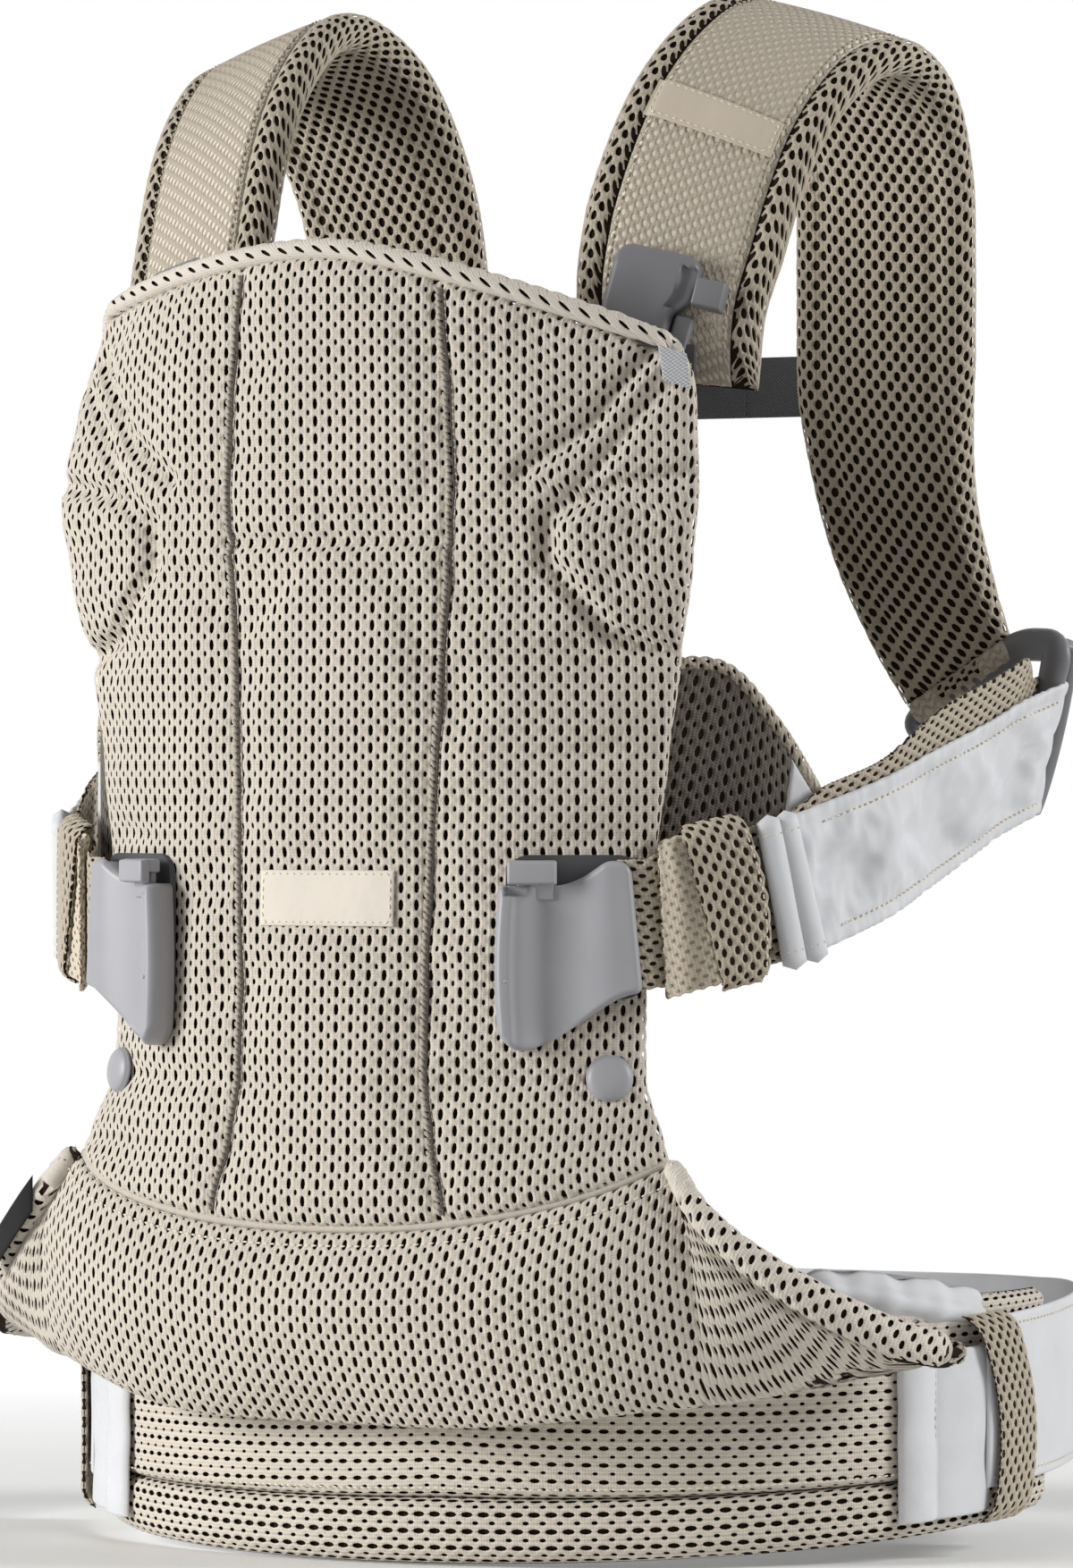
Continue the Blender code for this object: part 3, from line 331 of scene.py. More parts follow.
def knitted_mesh(name, value, shade=0.62, column=None, axis="X"):
    """Knitted polyester spacer mesh: matt yarn in chains beside the hole columns, ribbed, with painted shade at
    the hole rims.
    """
    made, tree, shader = shader_for(name, value, 0.86)
    thread = add(tree, "ShaderNodeAttribute", take="Vector", attribute_name="thread")
    rim = add(tree, "ShaderNodeAttribute", take="Fac", attribute_name="rim")
    # Courses of yarn 1.0 mm apart and wales 1.47 mm apart, coarser than the real ones so that they show
    wale, course = 2 * pi / (1.47 * MM), 2 * pi / (1.0 * MM)
    pace, weight = ((wale, course, 0), (0.7, 0.5, 0)) if axis == "X" else ((course, wale, 0), (0.5, 0.7, 0))
    turns = add(tree, VECTOR, (thread, pace), 0, operation="MULTIPLY")
    waves = add(tree, VECTOR, (turns,), 0, operation="SINE")
    rib = add(tree, VECTOR, (waves, weight), "Value", operation="DOT_PRODUCT")
    fuzz = add(tree, "ShaderNodeTexNoise", {"Vector": thread, "Scale": 0.9 / MM, "Detail": 2.0}, 0)
    patch = add(tree, "ShaderNodeTexNoise", {"Vector": thread, "Scale": 0.02 / MM, "Detail": 2.0}, 0)
    uneven = add(tree, MATH, (fuzz, patch), 0, operation="ADD")
    ribbed = add(tree, MATH, (rib, 0.3), 0, operation="MULTIPLY")
    lit = add(tree, MATH, (uneven, 0.5, ribbed), 0, operation="MULTIPLY_ADD")
    yarn = add(tree, MIX, {0: lit, 6: opaque(value, 0.76), 7: opaque(value, 1.14)}, 2, data_type="RGBA")
    # Painted shade: the yarn darkens towards each hole, where it dips into it
    dark = add(tree, MATH, (rim, 3.0), 0, operation="POWER")
    if column:
        # A thin shaded line runs from hole to hole down each column
        over = add(tree, "ShaderNodeSeparateXYZ", (thread,), axis)
        away = add(tree, MATH, (over, column * MM / 2), 0, operation="PINGPONG")
        line = add(tree, "ShaderNodeMapRange", {
            "Value": away, "From Min": 0.10 * MM, "From Max": 0.45 * MM, "To Min": 0.7, "To Max": 0.0,
        }, 0)
        dark = add(tree, MATH, (dark, line), 0, operation="MAXIMUM")
    painted = add(tree, MIX, {0: dark, 6: yarn, 7: opaque(value, shade)}, 2, data_type="RGBA")
    tree.links.new(painted, shader.inputs["Base Color"])
    rough = add(tree, MATH, (rib, fuzz), 0, operation="ADD")
    bump = add(tree, "ShaderNodeBump", {"Height": rough, "Strength": 0.3, "Distance": 0.3 * MM}, 0)
    tree.links.new(bump, shader.inputs["Normal"])
    shader.inputs["Sheen Weight"].default_value = 0.12
    return made


def foam_core(name, value):
    """Inside of the spacer mesh, seen through its holes: loose monofilament, coloured nearly black as painted
    shade for the depth between the faces.
    """
    made, tree, shader = shader_for(name, value, 1.0)
    spot = add(tree, "ShaderNodeTexCoord", take="Object")
    loose = add(tree, "ShaderNodeTexNoise", {"Vector": spot, "Scale": 0.7 / MM, "Detail": 1.0}, 0)
    tone = add(tree, MIX, {0: loose, 6: opaque(value, 0.5), 7: opaque(value, 1.6)}, 2, data_type="RGBA")
    tree.links.new(tone, shader.inputs["Base Color"])
    shader.inputs["Specular IOR Level"].default_value = 0.1
    return made


def crossing(tree, spot, warp, weft):
    """Two sets of threads that cross, as the product of their waves; each set has its direction."""
    turns = [add(tree, VECTOR, (spot, way), "Value", operation="DOT_PRODUCT") for way in (warp, weft)]
    waves = [add(tree, MATH, (turn,), 0, operation="SINE") for turn in turns]
    return add(tree, MATH, waves, 0, operation="MULTIPLY")


def woven_cloth(name, value, roughness=0.62, period=0.8, sheen=0.15):
    """Smooth woven polyester: a fine plain weave that catches a soft light along its folds."""
    made, tree, shader = shader_for(name, value, roughness)
    spot = add(tree, "ShaderNodeTexCoord", take="Object")
    # Threads drawn coarser than the real ones so that they show
    pace = 2 * pi / (period * MM)
    weave = crossing(tree, spot, (pace, pace, 0), (0, 0, pace))
    crumple = add(tree, "ShaderNodeTexNoise", {"Vector": spot, "Scale": 0.045 / MM, "Detail": 3.0}, 0)
    tone = add(tree, MIX, {0: crumple, 6: opaque(value, 0.9), 7: opaque(value, 1.08)}, 2, data_type="RGBA")
    tree.links.new(tone, shader.inputs["Base Color"])
    soft = add(tree, MATH, (crumple, 2.0), 0, operation="MULTIPLY")
    folds = add(tree, MATH, (weave, 0.05, soft), 0, operation="MULTIPLY_ADD")
    bump = add(tree, "ShaderNodeBump", {"Height": folds, "Strength": 0.5, "Distance": 1.2 * MM}, 0)
    tree.links.new(bump, shader.inputs["Normal"])
    shader.inputs["Sheen Weight"].default_value = sheen
    return made


def moulded_plastic(name, value, roughness=0.42):
    """Moulded nylon with a spark-eroded satin face: soft wide highlights and a very fine grain."""
    made, tree, shader = shader_for(name, value, roughness)
    spot = add(tree, "ShaderNodeTexCoord", take="Object")
    grain = add(tree, "ShaderNodeTexNoise", {"Vector": spot, "Scale": 2.2 / MM, "Detail": 2.0}, 0)
    wear = add(tree, "ShaderNodeTexNoise", {"Vector": spot, "Scale": 0.06 / MM, "Detail": 3.0}, 0)
    tone = add(tree, MIX, {0: wear, 6: opaque(value, 0.94), 7: opaque(value, 1.05)}, 2, data_type="RGBA")
    tree.links.new(tone, shader.inputs["Base Color"])
    rough = add(tree, MATH, (wear, 0.12, roughness - 0.06), 0, operation="MULTIPLY_ADD")
    tree.links.new(rough, shader.inputs["Roughness"])
    bump = add(tree, "ShaderNodeBump", {"Height": grain, "Strength": 0.08, "Distance": 0.1 * MM}, 0)
    tree.links.new(bump, shader.inputs["Normal"])
    return made


def band_weave(name, value, roughness=0.8):
    """Coarse woven polyester band: ribs across its width, crossed by rows of short floats."""
    made, tree, shader = shader_for(name, value, roughness)
    spot = add(tree, "ShaderNodeTexCoord", take="Object")
    # Ribs 1.6 mm apart and rows 1.3 mm apart
    weave = crossing(tree, spot, (2 * pi / (1.6 * MM), 0, 0), (0, 0, 2 * pi / (1.3 * MM)))
    lit = add(tree, MATH, (weave, 0.5, 0.5), 0, operation="MULTIPLY_ADD")
    tone = add(tree, MIX, {0: lit, 6: opaque(value, 0.55), 7: opaque(value, 1.25)}, 2, data_type="RGBA")
    tree.links.new(tone, shader.inputs["Base Color"])
    bump = add(tree, "ShaderNodeBump", {"Height": weave, "Strength": 0.5, "Distance": 0.4 * MM}, 0)
    tree.links.new(bump, shader.inputs["Normal"])
    return made


def spun_thread(name, value):
    """Twisted polyester thread: matt with a light fuzz."""
    made, tree, shader = shader_for(name, value, 0.75)
    spot = add(tree, "ShaderNodeTexCoord", take="Object")
    fuzz = add(tree, "ShaderNodeTexNoise", {"Vector": spot, "Scale": 1.0 / MM, "Detail": 1.0}, 0)
    tone = add(tree, MIX, {0: fuzz, 6: opaque(value, 0.8), 7: opaque(value, 1.1)}, 2, data_type="RGBA")
    tree.links.new(tone, shader.inputs["Base Color"])
    shader.inputs["Sheen Weight"].default_value = 0.1
    return made


def material(name):
    """The named material, made the first time that a piece asks for it."""
    known = bpy.data.materials.get(name)
    if known:
        return known
    c = colours()
    makers = {
        "spacer_mesh_beige": lambda n: knitted_mesh(n, c.mesh, 0.55, sizes().hole_across / MM / 2),
        "spacer_mesh_turned": lambda n: knitted_mesh(n, c.mesh, 0.6, sizes().hole_across / MM / 2, "Y"),
        # The wing's mesh: the strap's taupe mesh darkened to a painted shade, for the deep shade behind the panel
        "lining_mesh_brown": lambda n: knitted_mesh(n, shaded(c.strap, 0.26), 0.5),
        "binding_mesh_cream": lambda n: knitted_mesh(n, c.binding),
        "strap_mesh_taupe": lambda n: knitted_mesh(n, shaded(c.strap, 0.92)),
        "strap_face_taupe": lambda n: knitted_mesh(n, shaded(c.strap, 0.86), 0.9),
        "fold_mesh_pale": lambda n: knitted_mesh(n, shaded(c.strap, 1.25), 0.7),
        "raised_dots_cream": lambda n: spun_thread(n, c.dots),
        "mesh_core": lambda n: foam_core(n, c.core),
        "strap_core_taupe": lambda n: woven_cloth(n, shaded(c.strap, 0.92), 0.9, 1.3),
        "polyester_cloth_grey": lambda n: woven_cloth(n, c.cloth),
        "nylon_moulded_grey": lambda n: moulded_plastic(n, c.plastic),
        "nylon_moulded_dark": lambda n: moulded_plastic(n, c.dark_plastic, 0.55),
        "webbing_woven_dark": lambda n: band_weave(n, c.webbing),
        "label_woven_cream": lambda n: woven_cloth(n, c.label, 0.8, 1.0),
        "label_woven_taupe": lambda n: woven_cloth(n, shaded(c.strap, 1.05), 0.8, 1.0),
        "tape_woven_black": lambda n: woven_cloth(n, c.tape, 0.95, 1.0, 0.0),
        "tag_woven_grey": lambda n: band_weave(n, shaded(c.cloth, 0.85)),
        # The clips' grey plastic at half brightness: painted shade for the shoulder clips and slider rings
        "nylon_moulded_slate": lambda n: moulded_plastic(n, shaded(c.plastic, 0.5)),
        # Painted shadow beside the panel's corded seams, from the core's painted shade
        "thread_dark": lambda n: spun_thread(n, shaded(c.core, 1.5)),
        "thread_cream": lambda n: spun_thread(n, c.thread),
        "cap_mesh_cream": lambda n: spun_thread(n, shaded(c.binding, 0.85)),
        "seam_cord_beige": lambda n: spun_thread(n, shaded(c.mesh, 0.66)),
        "spacer_mesh_plain": lambda n: spun_thread(n, shaded(c.mesh, 0.8)),
        "thread_light": lambda n: spun_thread(n, shaded(c.cloth, 0.92)),
        "thread_taupe": lambda n: spun_thread(n, shaded(c.strap, 0.9)),
        "thread_grey": lambda n: spun_thread(n, shaded(c.webbing, 1.3)),
    }
    return makers[name](name)


# Points, rails and surfaces

def place(x, y, z):
    return Vector((x, y, z)) * MM


def mirrored(vector, side):
    return Vector((vector.x * side, vector.y, vector.z))


def rail(points):
    """A smooth path through the points, as a function of the share of its length from 0 to 1."""
    stops = [0.0]
    for a, b in zip(points, points[1:]):
        stops.append(stops[-1] + (b - a).length)
    last = len(points) - 1

    def slope(i):
        low, high = max(i - 1, 0), min(i + 1, last)
        return (points[high] - points[low]) / (stops[high] - stops[low])

    slopes = [slope(i) for i in range(last + 1)]

    def at(share):
        along = min(max(share, 0.0), 1.0) * stops[-1]
        i = next((k for k in range(last) if along <= stops[k + 1]), last - 1)
        span = stops[i + 1] - stops[i]
        t = (along - stops[i]) / span
        rise, fall = (2 * t**3 - 3 * t**2 + 1), (3 * t**2 - 2 * t**3)
        return (
            points[i] * rise
            + points[i + 1] * fall
            + slopes[i] * span * (t**3 - 2 * t**2 + t)
            + slopes[i + 1] * span * (t**3 - t**2)
        )

    return at


def between(rows, key):
    """The row at key, read evenly between the two nearest rows of a table sorted by its first column."""
    for low, high in zip(rows, rows[1:]):
        if key <= high[0]:
            t = max(0.0, (key - low[0]) / (high[0] - low[0]))
            t = t * t * (3 - 2 * t) * 0.5 + t * 0.5
            return [a + (b - a) * t for a, b in zip(low[1:], high[1:])]
    return list(rows[-1][1:])


def facing(surface, u, v):
    """The unit normal of a surface that takes two shares, pointing out of its face."""
    step = 0.004
    along = surface(min(u + step, 1.0), v) - surface(max(u - step, 0.0), v)
    up = surface(u, min(v + step, 1.0)) - surface(u, max(v - step, 0.0))
    return along.cross(up).normalized()


def local_frame(origin, outward, upward=Vector((0, 0, 1))):
    """A frame whose x runs along the face, y up the face and z out of it."""
    n = outward.normalized()
    t = upward.cross(n).normalized()
    up = n.cross(t)
    return Matrix.Translation(origin) @ Matrix((t, up, n)).transposed().to_4x4()


def ramp(value, low, high):
    """0 below low, 1 above high and a smooth step between."""
    t = min(max((value - low) / (high - low), 0.0), 1.0)
    return t * t * (3 - 2 * t)


def ripple(x, y, seed=0.0):
    """A soft unevenness between about -1 and 1, for the hand of cloth; x and y in millimetres."""
    return (
        0.5 * sin(0.061 * x + 0.043 * y + seed)
        + 0.3 * sin(0.127 * x - 0.089 * y + 1.7 + 2 * seed)
        + 0.2 * sin(-0.054 * x + 0.171 * y + 0.6 + 3 * seed)
    )


# Nets of cloth

def edge_stops(size, roll, count):
    """Shares along a size that lie close together over its two rolled ends."""
    near = [roll * (1 - cos(pi / 2 * k / 5)) for k in range(6)]
    middle = [roll + (size - 2 * roll) * k / count for k in range(1, count)]
    far = [size - d for d in reversed(near)]
    return [d / size for d in near + middle + far]


def rolled(distance, radius):
    """How far round a rolled edge the padding has come: 0 at the edge, 1 beyond the radius."""
    inside = min(max(distance / radius, 0.0), 1.0)
    return sqrt(1 - (1 - inside) ** 2)


def flat_pattern(net, column, row, level=None):
    """Where each point of a net lies on the flat cloth, in metres along its rows and up its columns."""
    rows, columns = len(net), len(net[0])
    along = [[0.0] * columns for _ in range(rows)]
    up = [[0.0] * columns for _ in range(rows)]
    for j in range(rows):
        for i in range(column + 1, columns):
            along[j][i] = along[j][i - 1] + (net[j][i] - net[j][i - 1]).length
        for i in range(column - 1, -1, -1):
            along[j][i] = along[j][i + 1] - (net[j][i] - net[j][i + 1]).length
    for i in range(columns):
        up[row][i] = level(net[row][i]) if level else 0.0
        for j in range(row + 1, rows):
            up[j][i] = up[j - 1][i] + (net[j][i] - net[j - 1][i]).length
        for j in range(row - 1, -1, -1):
            up[j][i] = up[j + 1][i] - (net[j][i] - net[j + 1][i]).length
    return [list(zip(a, b)) for a, b in zip(along, up)]


def net_faces(rows, columns):
    return [
        (j * columns + i, j * columns + i + 1, (j + 1) * columns + i + 1, (j + 1) * columns + i)
        for j in range(rows - 1) for i in range(columns - 1)
    ]


def net_mesh(name, net):
    mesh = bpy.data.meshes.new(name)
    mesh.from_pydata([p for line in net for p in line], [], net_faces(len(net), len(net[0])))
    return mesh


def two_nets(us, vs, pair):
    """The outer and inner net of a body, from a function that gives a point of each for two shares."""
    cells = [[pair(u, v) for u in us] for v in vs]
    return [[[spots[k] for spots in line] for line in cells] for k in (0, 1)]


def welded(mesh, distance, closing=False):
    """Joins points of a mesh that lie together. Closing also fills its ends and turns its faces outwards."""
    shape = bmesh.new()
    shape.from_mesh(mesh)
    bmesh.ops.remove_doubles(shape, verts=shape.verts, dist=distance)
    if closing:
        bmesh.ops.holes_fill(shape, edges=shape.edges, sides=0)
        bmesh.ops.recalc_face_normals(shape, faces=shape.faces)
    shape.to_mesh(mesh)
    shape.free()
    mesh.polygons.foreach_set("use_smooth", [True] * len(mesh.polygons))
    mesh.update()


def add_piece(name, mesh, *names):
    item = bpy.data.objects.new(name, mesh)
    bpy.context.scene.collection.objects.link(item)
    for title in names:
        mesh.materials.append(material(title))
    return item


def net_object(name, net, flat):
    """A bare net that carries its flat pattern as a UV map and its outward directions as an attribute."""
    mesh = net_mesh(name, net)
    spots = [s for line in flat for s in line]
    layer = mesh.uv_layers.new(name="cloth")
    for corner in mesh.loops:
        layer.data[corner.index].uv = spots[corner.vertex_index]
    mesh.polygons.foreach_set("use_smooth", [True] * len(mesh.polygons))
    outward = mesh.attributes.new("out", "FLOAT_VECTOR", "POINT")
    for vert in mesh.vertices:
        outward.data[vert.index].vector = vert.normal
    return add_piece(name, mesh)


def hole_sizes(turned=False, relief=1.0, plump=1.0):
    """Inputs of the perforated cloth, with its holes lying down where turned is set."""
    s = sizes()
    across = (s.hole_across, s.hole_width * plump, s.eyelet_width * plump)
    up = (s.hole_up, s.hole_height * plump, s.eyelet_height * plump)
    if turned:
        across, up = up, across
    titles = ("Pitch", "Hole", "Eyelet")
    values = {}
    for title, wide, tall in zip(titles, across, up):
        first, second = (" Across", " Up") if title == "Pitch" else (" Width", " Height")
        values[title + first] = wide
        values[title + second] = tall
    values["Relief"] = s.relief * relief
    return values


def even_holes(pitch, up, width, height, relief=0.6):
    """Inputs of a cloth whose staggered holes are all of one size, in millimetres."""
    return {
        "Pitch Across": pitch * MM, "Pitch Up": up * MM, "Hole Width": width * MM, "Hole Height": height * MM,
        "Eyelet Width": width * MM, "Eyelet Height": height * MM, "Relief": relief * MM,
    }


def perforate(name, net, flat, holes, title):
    """Mesh cloth over a net."""
    values = dict(holes)
    for axis, key, count in ((0, "Across", "Columns"), (1, "Up", "Rows")):
        spots = [s[axis] for line in flat for s in line]
        pitch = values["Pitch " + key]
        first = int(min(spots) / pitch) - 2
        values["Start " + key] = first * pitch
        values[count] = int(max(spots) / pitch) + 2 - first
    base = net_object(name + "_net", net, flat)
    return grown(name, base, tree_named("perforated_cloth"), values, material(title))


def closed_pad(name, outer, inner, *titles):
    """A closed body between two nets of one size. The first material is the front's, the last the back's."""
    rows, columns = len(outer), len(outer[0])
    count = rows * columns
    verts = [p for line in outer for p in line] + [p for line in inner for p in line]
    faces = net_faces(rows, columns)
    front = len(faces)
    faces += [tuple(count + k for k in reversed(face)) for face in net_faces(rows, columns)]
    rim = list(range(columns)) + [j * columns + columns - 1 for j in range(1, rows)]
    rim += [count - 2 - i for i in range(columns - 1)] + [j * columns for j in range(rows - 2, 0, -1)]
    for a, b in zip(rim, rim[1:] + rim[:1]):
        faces.append((b, a, count + a, count + b))
    mesh = bpy.data.meshes.new(name)
    mesh.from_pydata(verts, [], faces)
    item = add_piece(name, mesh, *titles)
    if len(titles) > 1:
        slots = [0] * front + [len(titles) - 1] * front + [0] * len(rim)
        mesh.polygons.foreach_set("material_index", slots)
    welded(mesh, 0.00002)
    return item


def inset(net, depth):
    """A net moved inwards along its normals by a depth in millimetres."""
    mesh = net_mesh("inset", net)
    moved = [v.co - v.normal * depth * MM for v in mesh.vertices]
    bpy.data.meshes.remove(mesh)
    columns = len(net[0])
    return [moved[k:k + columns] for k in range(0, len(moved), columns)]


def stitch_line(name, points, outward, title, pitch=None, size=(2.1, 0.75, 0.6), slant=0.0):
    """A row of stitches along points, lying on the faces that outward gives; size in millimetres."""
    mesh = bpy.data.meshes.new(name)
    mesh.from_pydata(points, [(i, i + 1) for i in range(len(points) - 1)], [])
    layer = mesh.attributes.new("out", "FLOAT_VECTOR", "POINT")
    for i, way in enumerate(outward):
        layer.data[i].vector = way
    base = add_piece(name + "_line", mesh)
    values = {
        "Pitch": pitch or sizes().stitch, "Length": size[0] * MM, "Width": size[1] * MM, "Rise": size[2] * MM,
        "Slant": slant,
    }
    return grown(name, base, tree_named("stitch_row"), values, material(title))


def sewn_on(surface, spots, lift):
    """Points and directions for a row of stitches on a surface, from pairs of shares."""
    outward = [facing(surface, u, v) for u, v in spots]
    points = [surface(u, v) + n * lift * MM for (u, v), n in zip(spots, outward)]
    return points, outward


def finish_piece(item, body, *nodes, slot=None, fill=None):
    """Gives a piece its body and hides the solids that it stands for; its slot and its padding fill are not used.
    """
    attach(item, body)
    if nodes:
        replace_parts(item, *nodes)
    return item


def side_name(name, side):
    return name + ("_right" if side > 0 else "_left")


# Pads with rolled edges

def padded_nets(face, size, rolls, front, back, counts, sink=4.6):
    """Outer and inner nets of a pad with rolled edges, by radii for the left, right, lower and upper one."""
    width, height = size

    def pair(u, v):
        out = facing(face, u, v)
        middle = face(u, v) - out * sink * MM
        swell = 1.0
        for reach, roll in zip((u * width, (1 - u) * width, v * height, (1 - v) * height), rolls):
            swell *= rolled(reach, roll)
        return middle + out * front(u, v) * swell * MM, middle - out * back(u, v) * swell * MM

    us = edge_stops(width, max(rolls[:2]), counts[0])
    return two_nets(us, edge_stops(height, max(rolls[2:]), counts[1]), pair)


def flipped(net):
    """A net turned to face the other way."""
    return [list(reversed(line)) for line in net]


def middle_of(net):
    return len(net[0]) // 2, len(net) // 2


def height_of(point):
    return point.z


def valley(distance, width):
    """A stitched channel: 1 on its line, falling to 0 over a width in millimetres."""
    return exp(-((distance / width) ** 2))


def line_distance(point, corners):
    """The distance of a point to a line through corners."""
    nearest = 1e9
    for a, b in zip(corners, corners[1:]):
        run = b - a
        t = min(max((point - a).dot(run) / run.dot(run), 0.0), 1.0)
        nearest = min(nearest, (point - a - run * t).length)
    return nearest


# Cloth that settles

def blown_out(item, slack, pressure):
    """The points that slack cloth comes to in a simulation, held by its group and blown out elsewhere."""
    cloth = item.modifiers.new("cloth", "CLOTH")
    feel = cloth.settings
    feel.vertex_group_mass = "held"
    feel.quality = 5
    feel.mass = 0.15
    feel.tension_stiffness = feel.compression_stiffness = 10.0
    feel.bending_stiffness = 0.05
    feel.shrink_min = -slack
    feel.use_pressure = True
    feel.uniform_pressure_force = pressure
    feel.effector_weights.gravity = 0.0
    cloth.collision_settings.use_collision = False
    for number in range(1, 21):
        bpy.context.scene.frame_set(number)
    shape = item.evaluated_get(bpy.context.evaluated_depsgraph_get()).data
    points = [v.co.copy() for v in shape.vertices]
    bpy.data.objects.remove(item, do_unlink=True)
    bpy.context.scene.frame_set(1)
    return points


def grid_reader(values, columns, rows):
    """Values on a grid, read evenly between its points by two shares."""

    def at(u, v):
        x, y = u * (columns - 1), v * (rows - 1)
        i, j = min(int(x), columns - 2), min(int(y), rows - 2)
        s, t = x - i, y - j
        low = values[j * columns + i] * (1 - s) + values[j * columns + i + 1] * s
        high = values[(j + 1) * columns + i] * (1 - s) + values[(j + 1) * columns + i + 1] * s
        return low * (1 - t) + high * t

    return at


def settled(name, surface, counts, held, slack, pressure, cap):
    """How far slack cloth swells off a surface in a cloth simulation, in millimetres, for two shares.
    """
    columns, rows = counts
    spots = [(i / (columns - 1), j / (rows - 1)) for j in range(rows) for i in range(columns)]
    starts = [surface(u, v) for u, v in spots]
    ways = [facing(surface, u, v) for u, v in spots]
    # A slight unevenness decides which way each fold falls, the same on every run
    verts = [p + n * 0.15 * MM * ripple(410 * u, 330 * v, 0.9) for p, n, (u, v) in zip(starts, ways, spots)]
    net = [verts[k:k + columns] for k in range(0, len(verts), columns)]
    item = add_piece(name, net_mesh(name, net))
    group = item.vertex_groups.new(name="held")
    for k, (u, v) in enumerate(spots):
        group.add([k], held(u, v), "REPLACE")
    moves = [(end - p).dot(n) / MM for end, p, n in zip(blown_out(item, slack, pressure), starts, ways)]
    return grid_reader([min(max(m, -cap), cap) for m in moves], columns, rows)


# Front panel, head support and gussets

PANEL_ROWS = (
    (95, 160, -150, -176),
    (121, 136, -146, -174),
    (144, 120, -140, -172),
    (166, 111, -137, -171),
    (205, 110, -135, -169.5),
    (245, 114, -135, -168),
    (276, 118, -134, -167),
    (311, 123, -134, -166),
    (342, 129, -137, -165),
    (371, 133, -140, -165),
    (402, 129, -134, -165.5),
    (430, 122, -129, -166),
    (462, 112, -124, -166),
)
PANEL_THICKNESS = 9.0
STRIP_HALF = 42.0
FOLD_HEIGHT = 353.0
PANEL_WIDE, PANEL_TALL = 262.0, 330.0
PANEL_NODES = ("front_panel", "head_support", "side_gusset_left", "side_gusset_right")


@lru_cache(maxsize=None)
def panel_row(height):
    return between(PANEL_ROWS, height)


def panel_point(share, height):
    """A point on the outer face of the panel: share runs from -1 at the left edge to 1 at the right edge."""
    half, edge, centre = panel_row(height)
    return place(half * share, centre + (edge - centre) * abs(share) ** 2.3, height)


def panel_outward(share, height, upright=True):
    """The direction out of the panel's face, kept level where upright is set."""
    run = panel_point(share + 0.02, height) - panel_point(share - 0.02, height)
    rise = Vector((0, 0, 1)) if upright else panel_point(share, height + 3) - panel_point(share, height - 3)
    return run.cross(rise).normalized()


def behind_panel(share, height, off):
    return panel_point(share, height) - panel_outward(share, height) * (PANEL_THICKNESS + off) * MM


def strip_share(u):
    """The share across the panel for a column, with whole columns on the seams of the centre strip."""
    seam = STRIP_HALF / 121.4
    if u < 1 / 3:
        return -1 + (1 - seam) * u * 3
    if u > 2 / 3:
        return seam + (1 - seam) * (u - 2 / 3) * 3
    return -seam + 2 * seam * (u - 1 / 3) * 3


def head_top(share):
    return 447.5 - 28.0 * abs(share) ** 1.6 - 9.0 * share


def seam_height(share):
    return 113.0 + 25.0 * abs(share) ** 2.2


def panel_height(share, v):
    low = seam_height(share) + 0.4
    return low + (head_top(share) + 5.0 - low) * v


def panel_face(u, v):
    share = strip_share(u)
    return panel_point(share, panel_height(share, v))


def gusset_lines(side):
    """The stitched lines round the gusset and across the head support, as millimetres across and up."""
    upper = [(0.624, 360.5), (0.70, 366), (0.789, 371), (1.0, 375.6)]
    second = [(0.624, 360.5), (0.732, 374), (0.843, 394), (0.947, 409)]
    lower = [(0.624, 360.5), (0.63, 345.5), (0.727, 332), (0.813, 320), (0.963, 313), (1.0, 313)]
    brow = [(0.547, 375.6), (0.734, 392), (0.901, 418)]
    lines = []
    for corners in (upper, second, lower, brow):
        lines.append([Vector((side * s * panel_row(z)[0], z)) for s, z in corners])
    return lines


QUILTING = gusset_lines(1) + gusset_lines(-1)
QUILT_DEPTHS = (4.4, 3.2, 4.4, 3.8) * 2


def panel_form(u, v):
    """How far the padding stands off the middle of the panel, in millimetres, before its cloth settles."""
    share = strip_share(u)
    z = panel_height(share, v)
    spot = Vector((panel_row(z)[0] * share, z))
    seams = max(valley((abs(u - 1 / 3)) * 250, 2.6), valley((abs(u - 2 / 3)) * 250, 2.6))
    stitched = 0.0
    for corners, depth in zip(QUILTING, QUILT_DEPTHS):
        if abs(spot.x - corners[0].x) < 90 and abs(spot.y - 350) < 80:
            stitched = max(stitched, depth * valley(line_distance(spot, corners), 3.4))
    crease = 1.9 * valley(z - FOLD_HEIGHT, 2.4) - 1.1 * valley(z - FOLD_HEIGHT + 5.5, 2.6)
    crease *= 1 - ramp(abs(share), 0.33, 0.4)
    puff = 1.6 * ramp(abs(share), 0.6, 0.72) * ramp(z, 314, 326) * (1 - ramp(z, 360, 368))
    crown = 0.7 * abs(sin(pi * 3 * u)) ** 0.8
    hang = 0.45 * ripple(spot.x, z)
    return 4.9 + crown + puff + hang - 1.5 * seams - stitched - crease


def panel_rest(u, v):
    return panel_face(u, v) + facing(panel_face, u, v) * (panel_form(u, v) - 4.6) * MM


def panel_held(u, v):
    """The panel's cloth is held at its edges, its seams, its fold, its quilting lines and its label."""
    share = strip_share(u)
    z = panel_height(share, v)
    spot = Vector((panel_row(z)[0] * share, z))
    sewn = min(line_distance(spot, corners) for corners in QUILTING) < 2.6
    seam = min(abs(u - 1 / 3), abs(u - 2 / 3)) < 0.007
    edge = min(u, 1 - u) < 0.03 or min(v, 1 - v) < 0.02
    label = abs(spot.x) < 33 and 213 < z < 244
    return 1.0 if sewn or seam or edge or label or abs(z - FOLD_HEIGHT) < 2.2 else 0.0


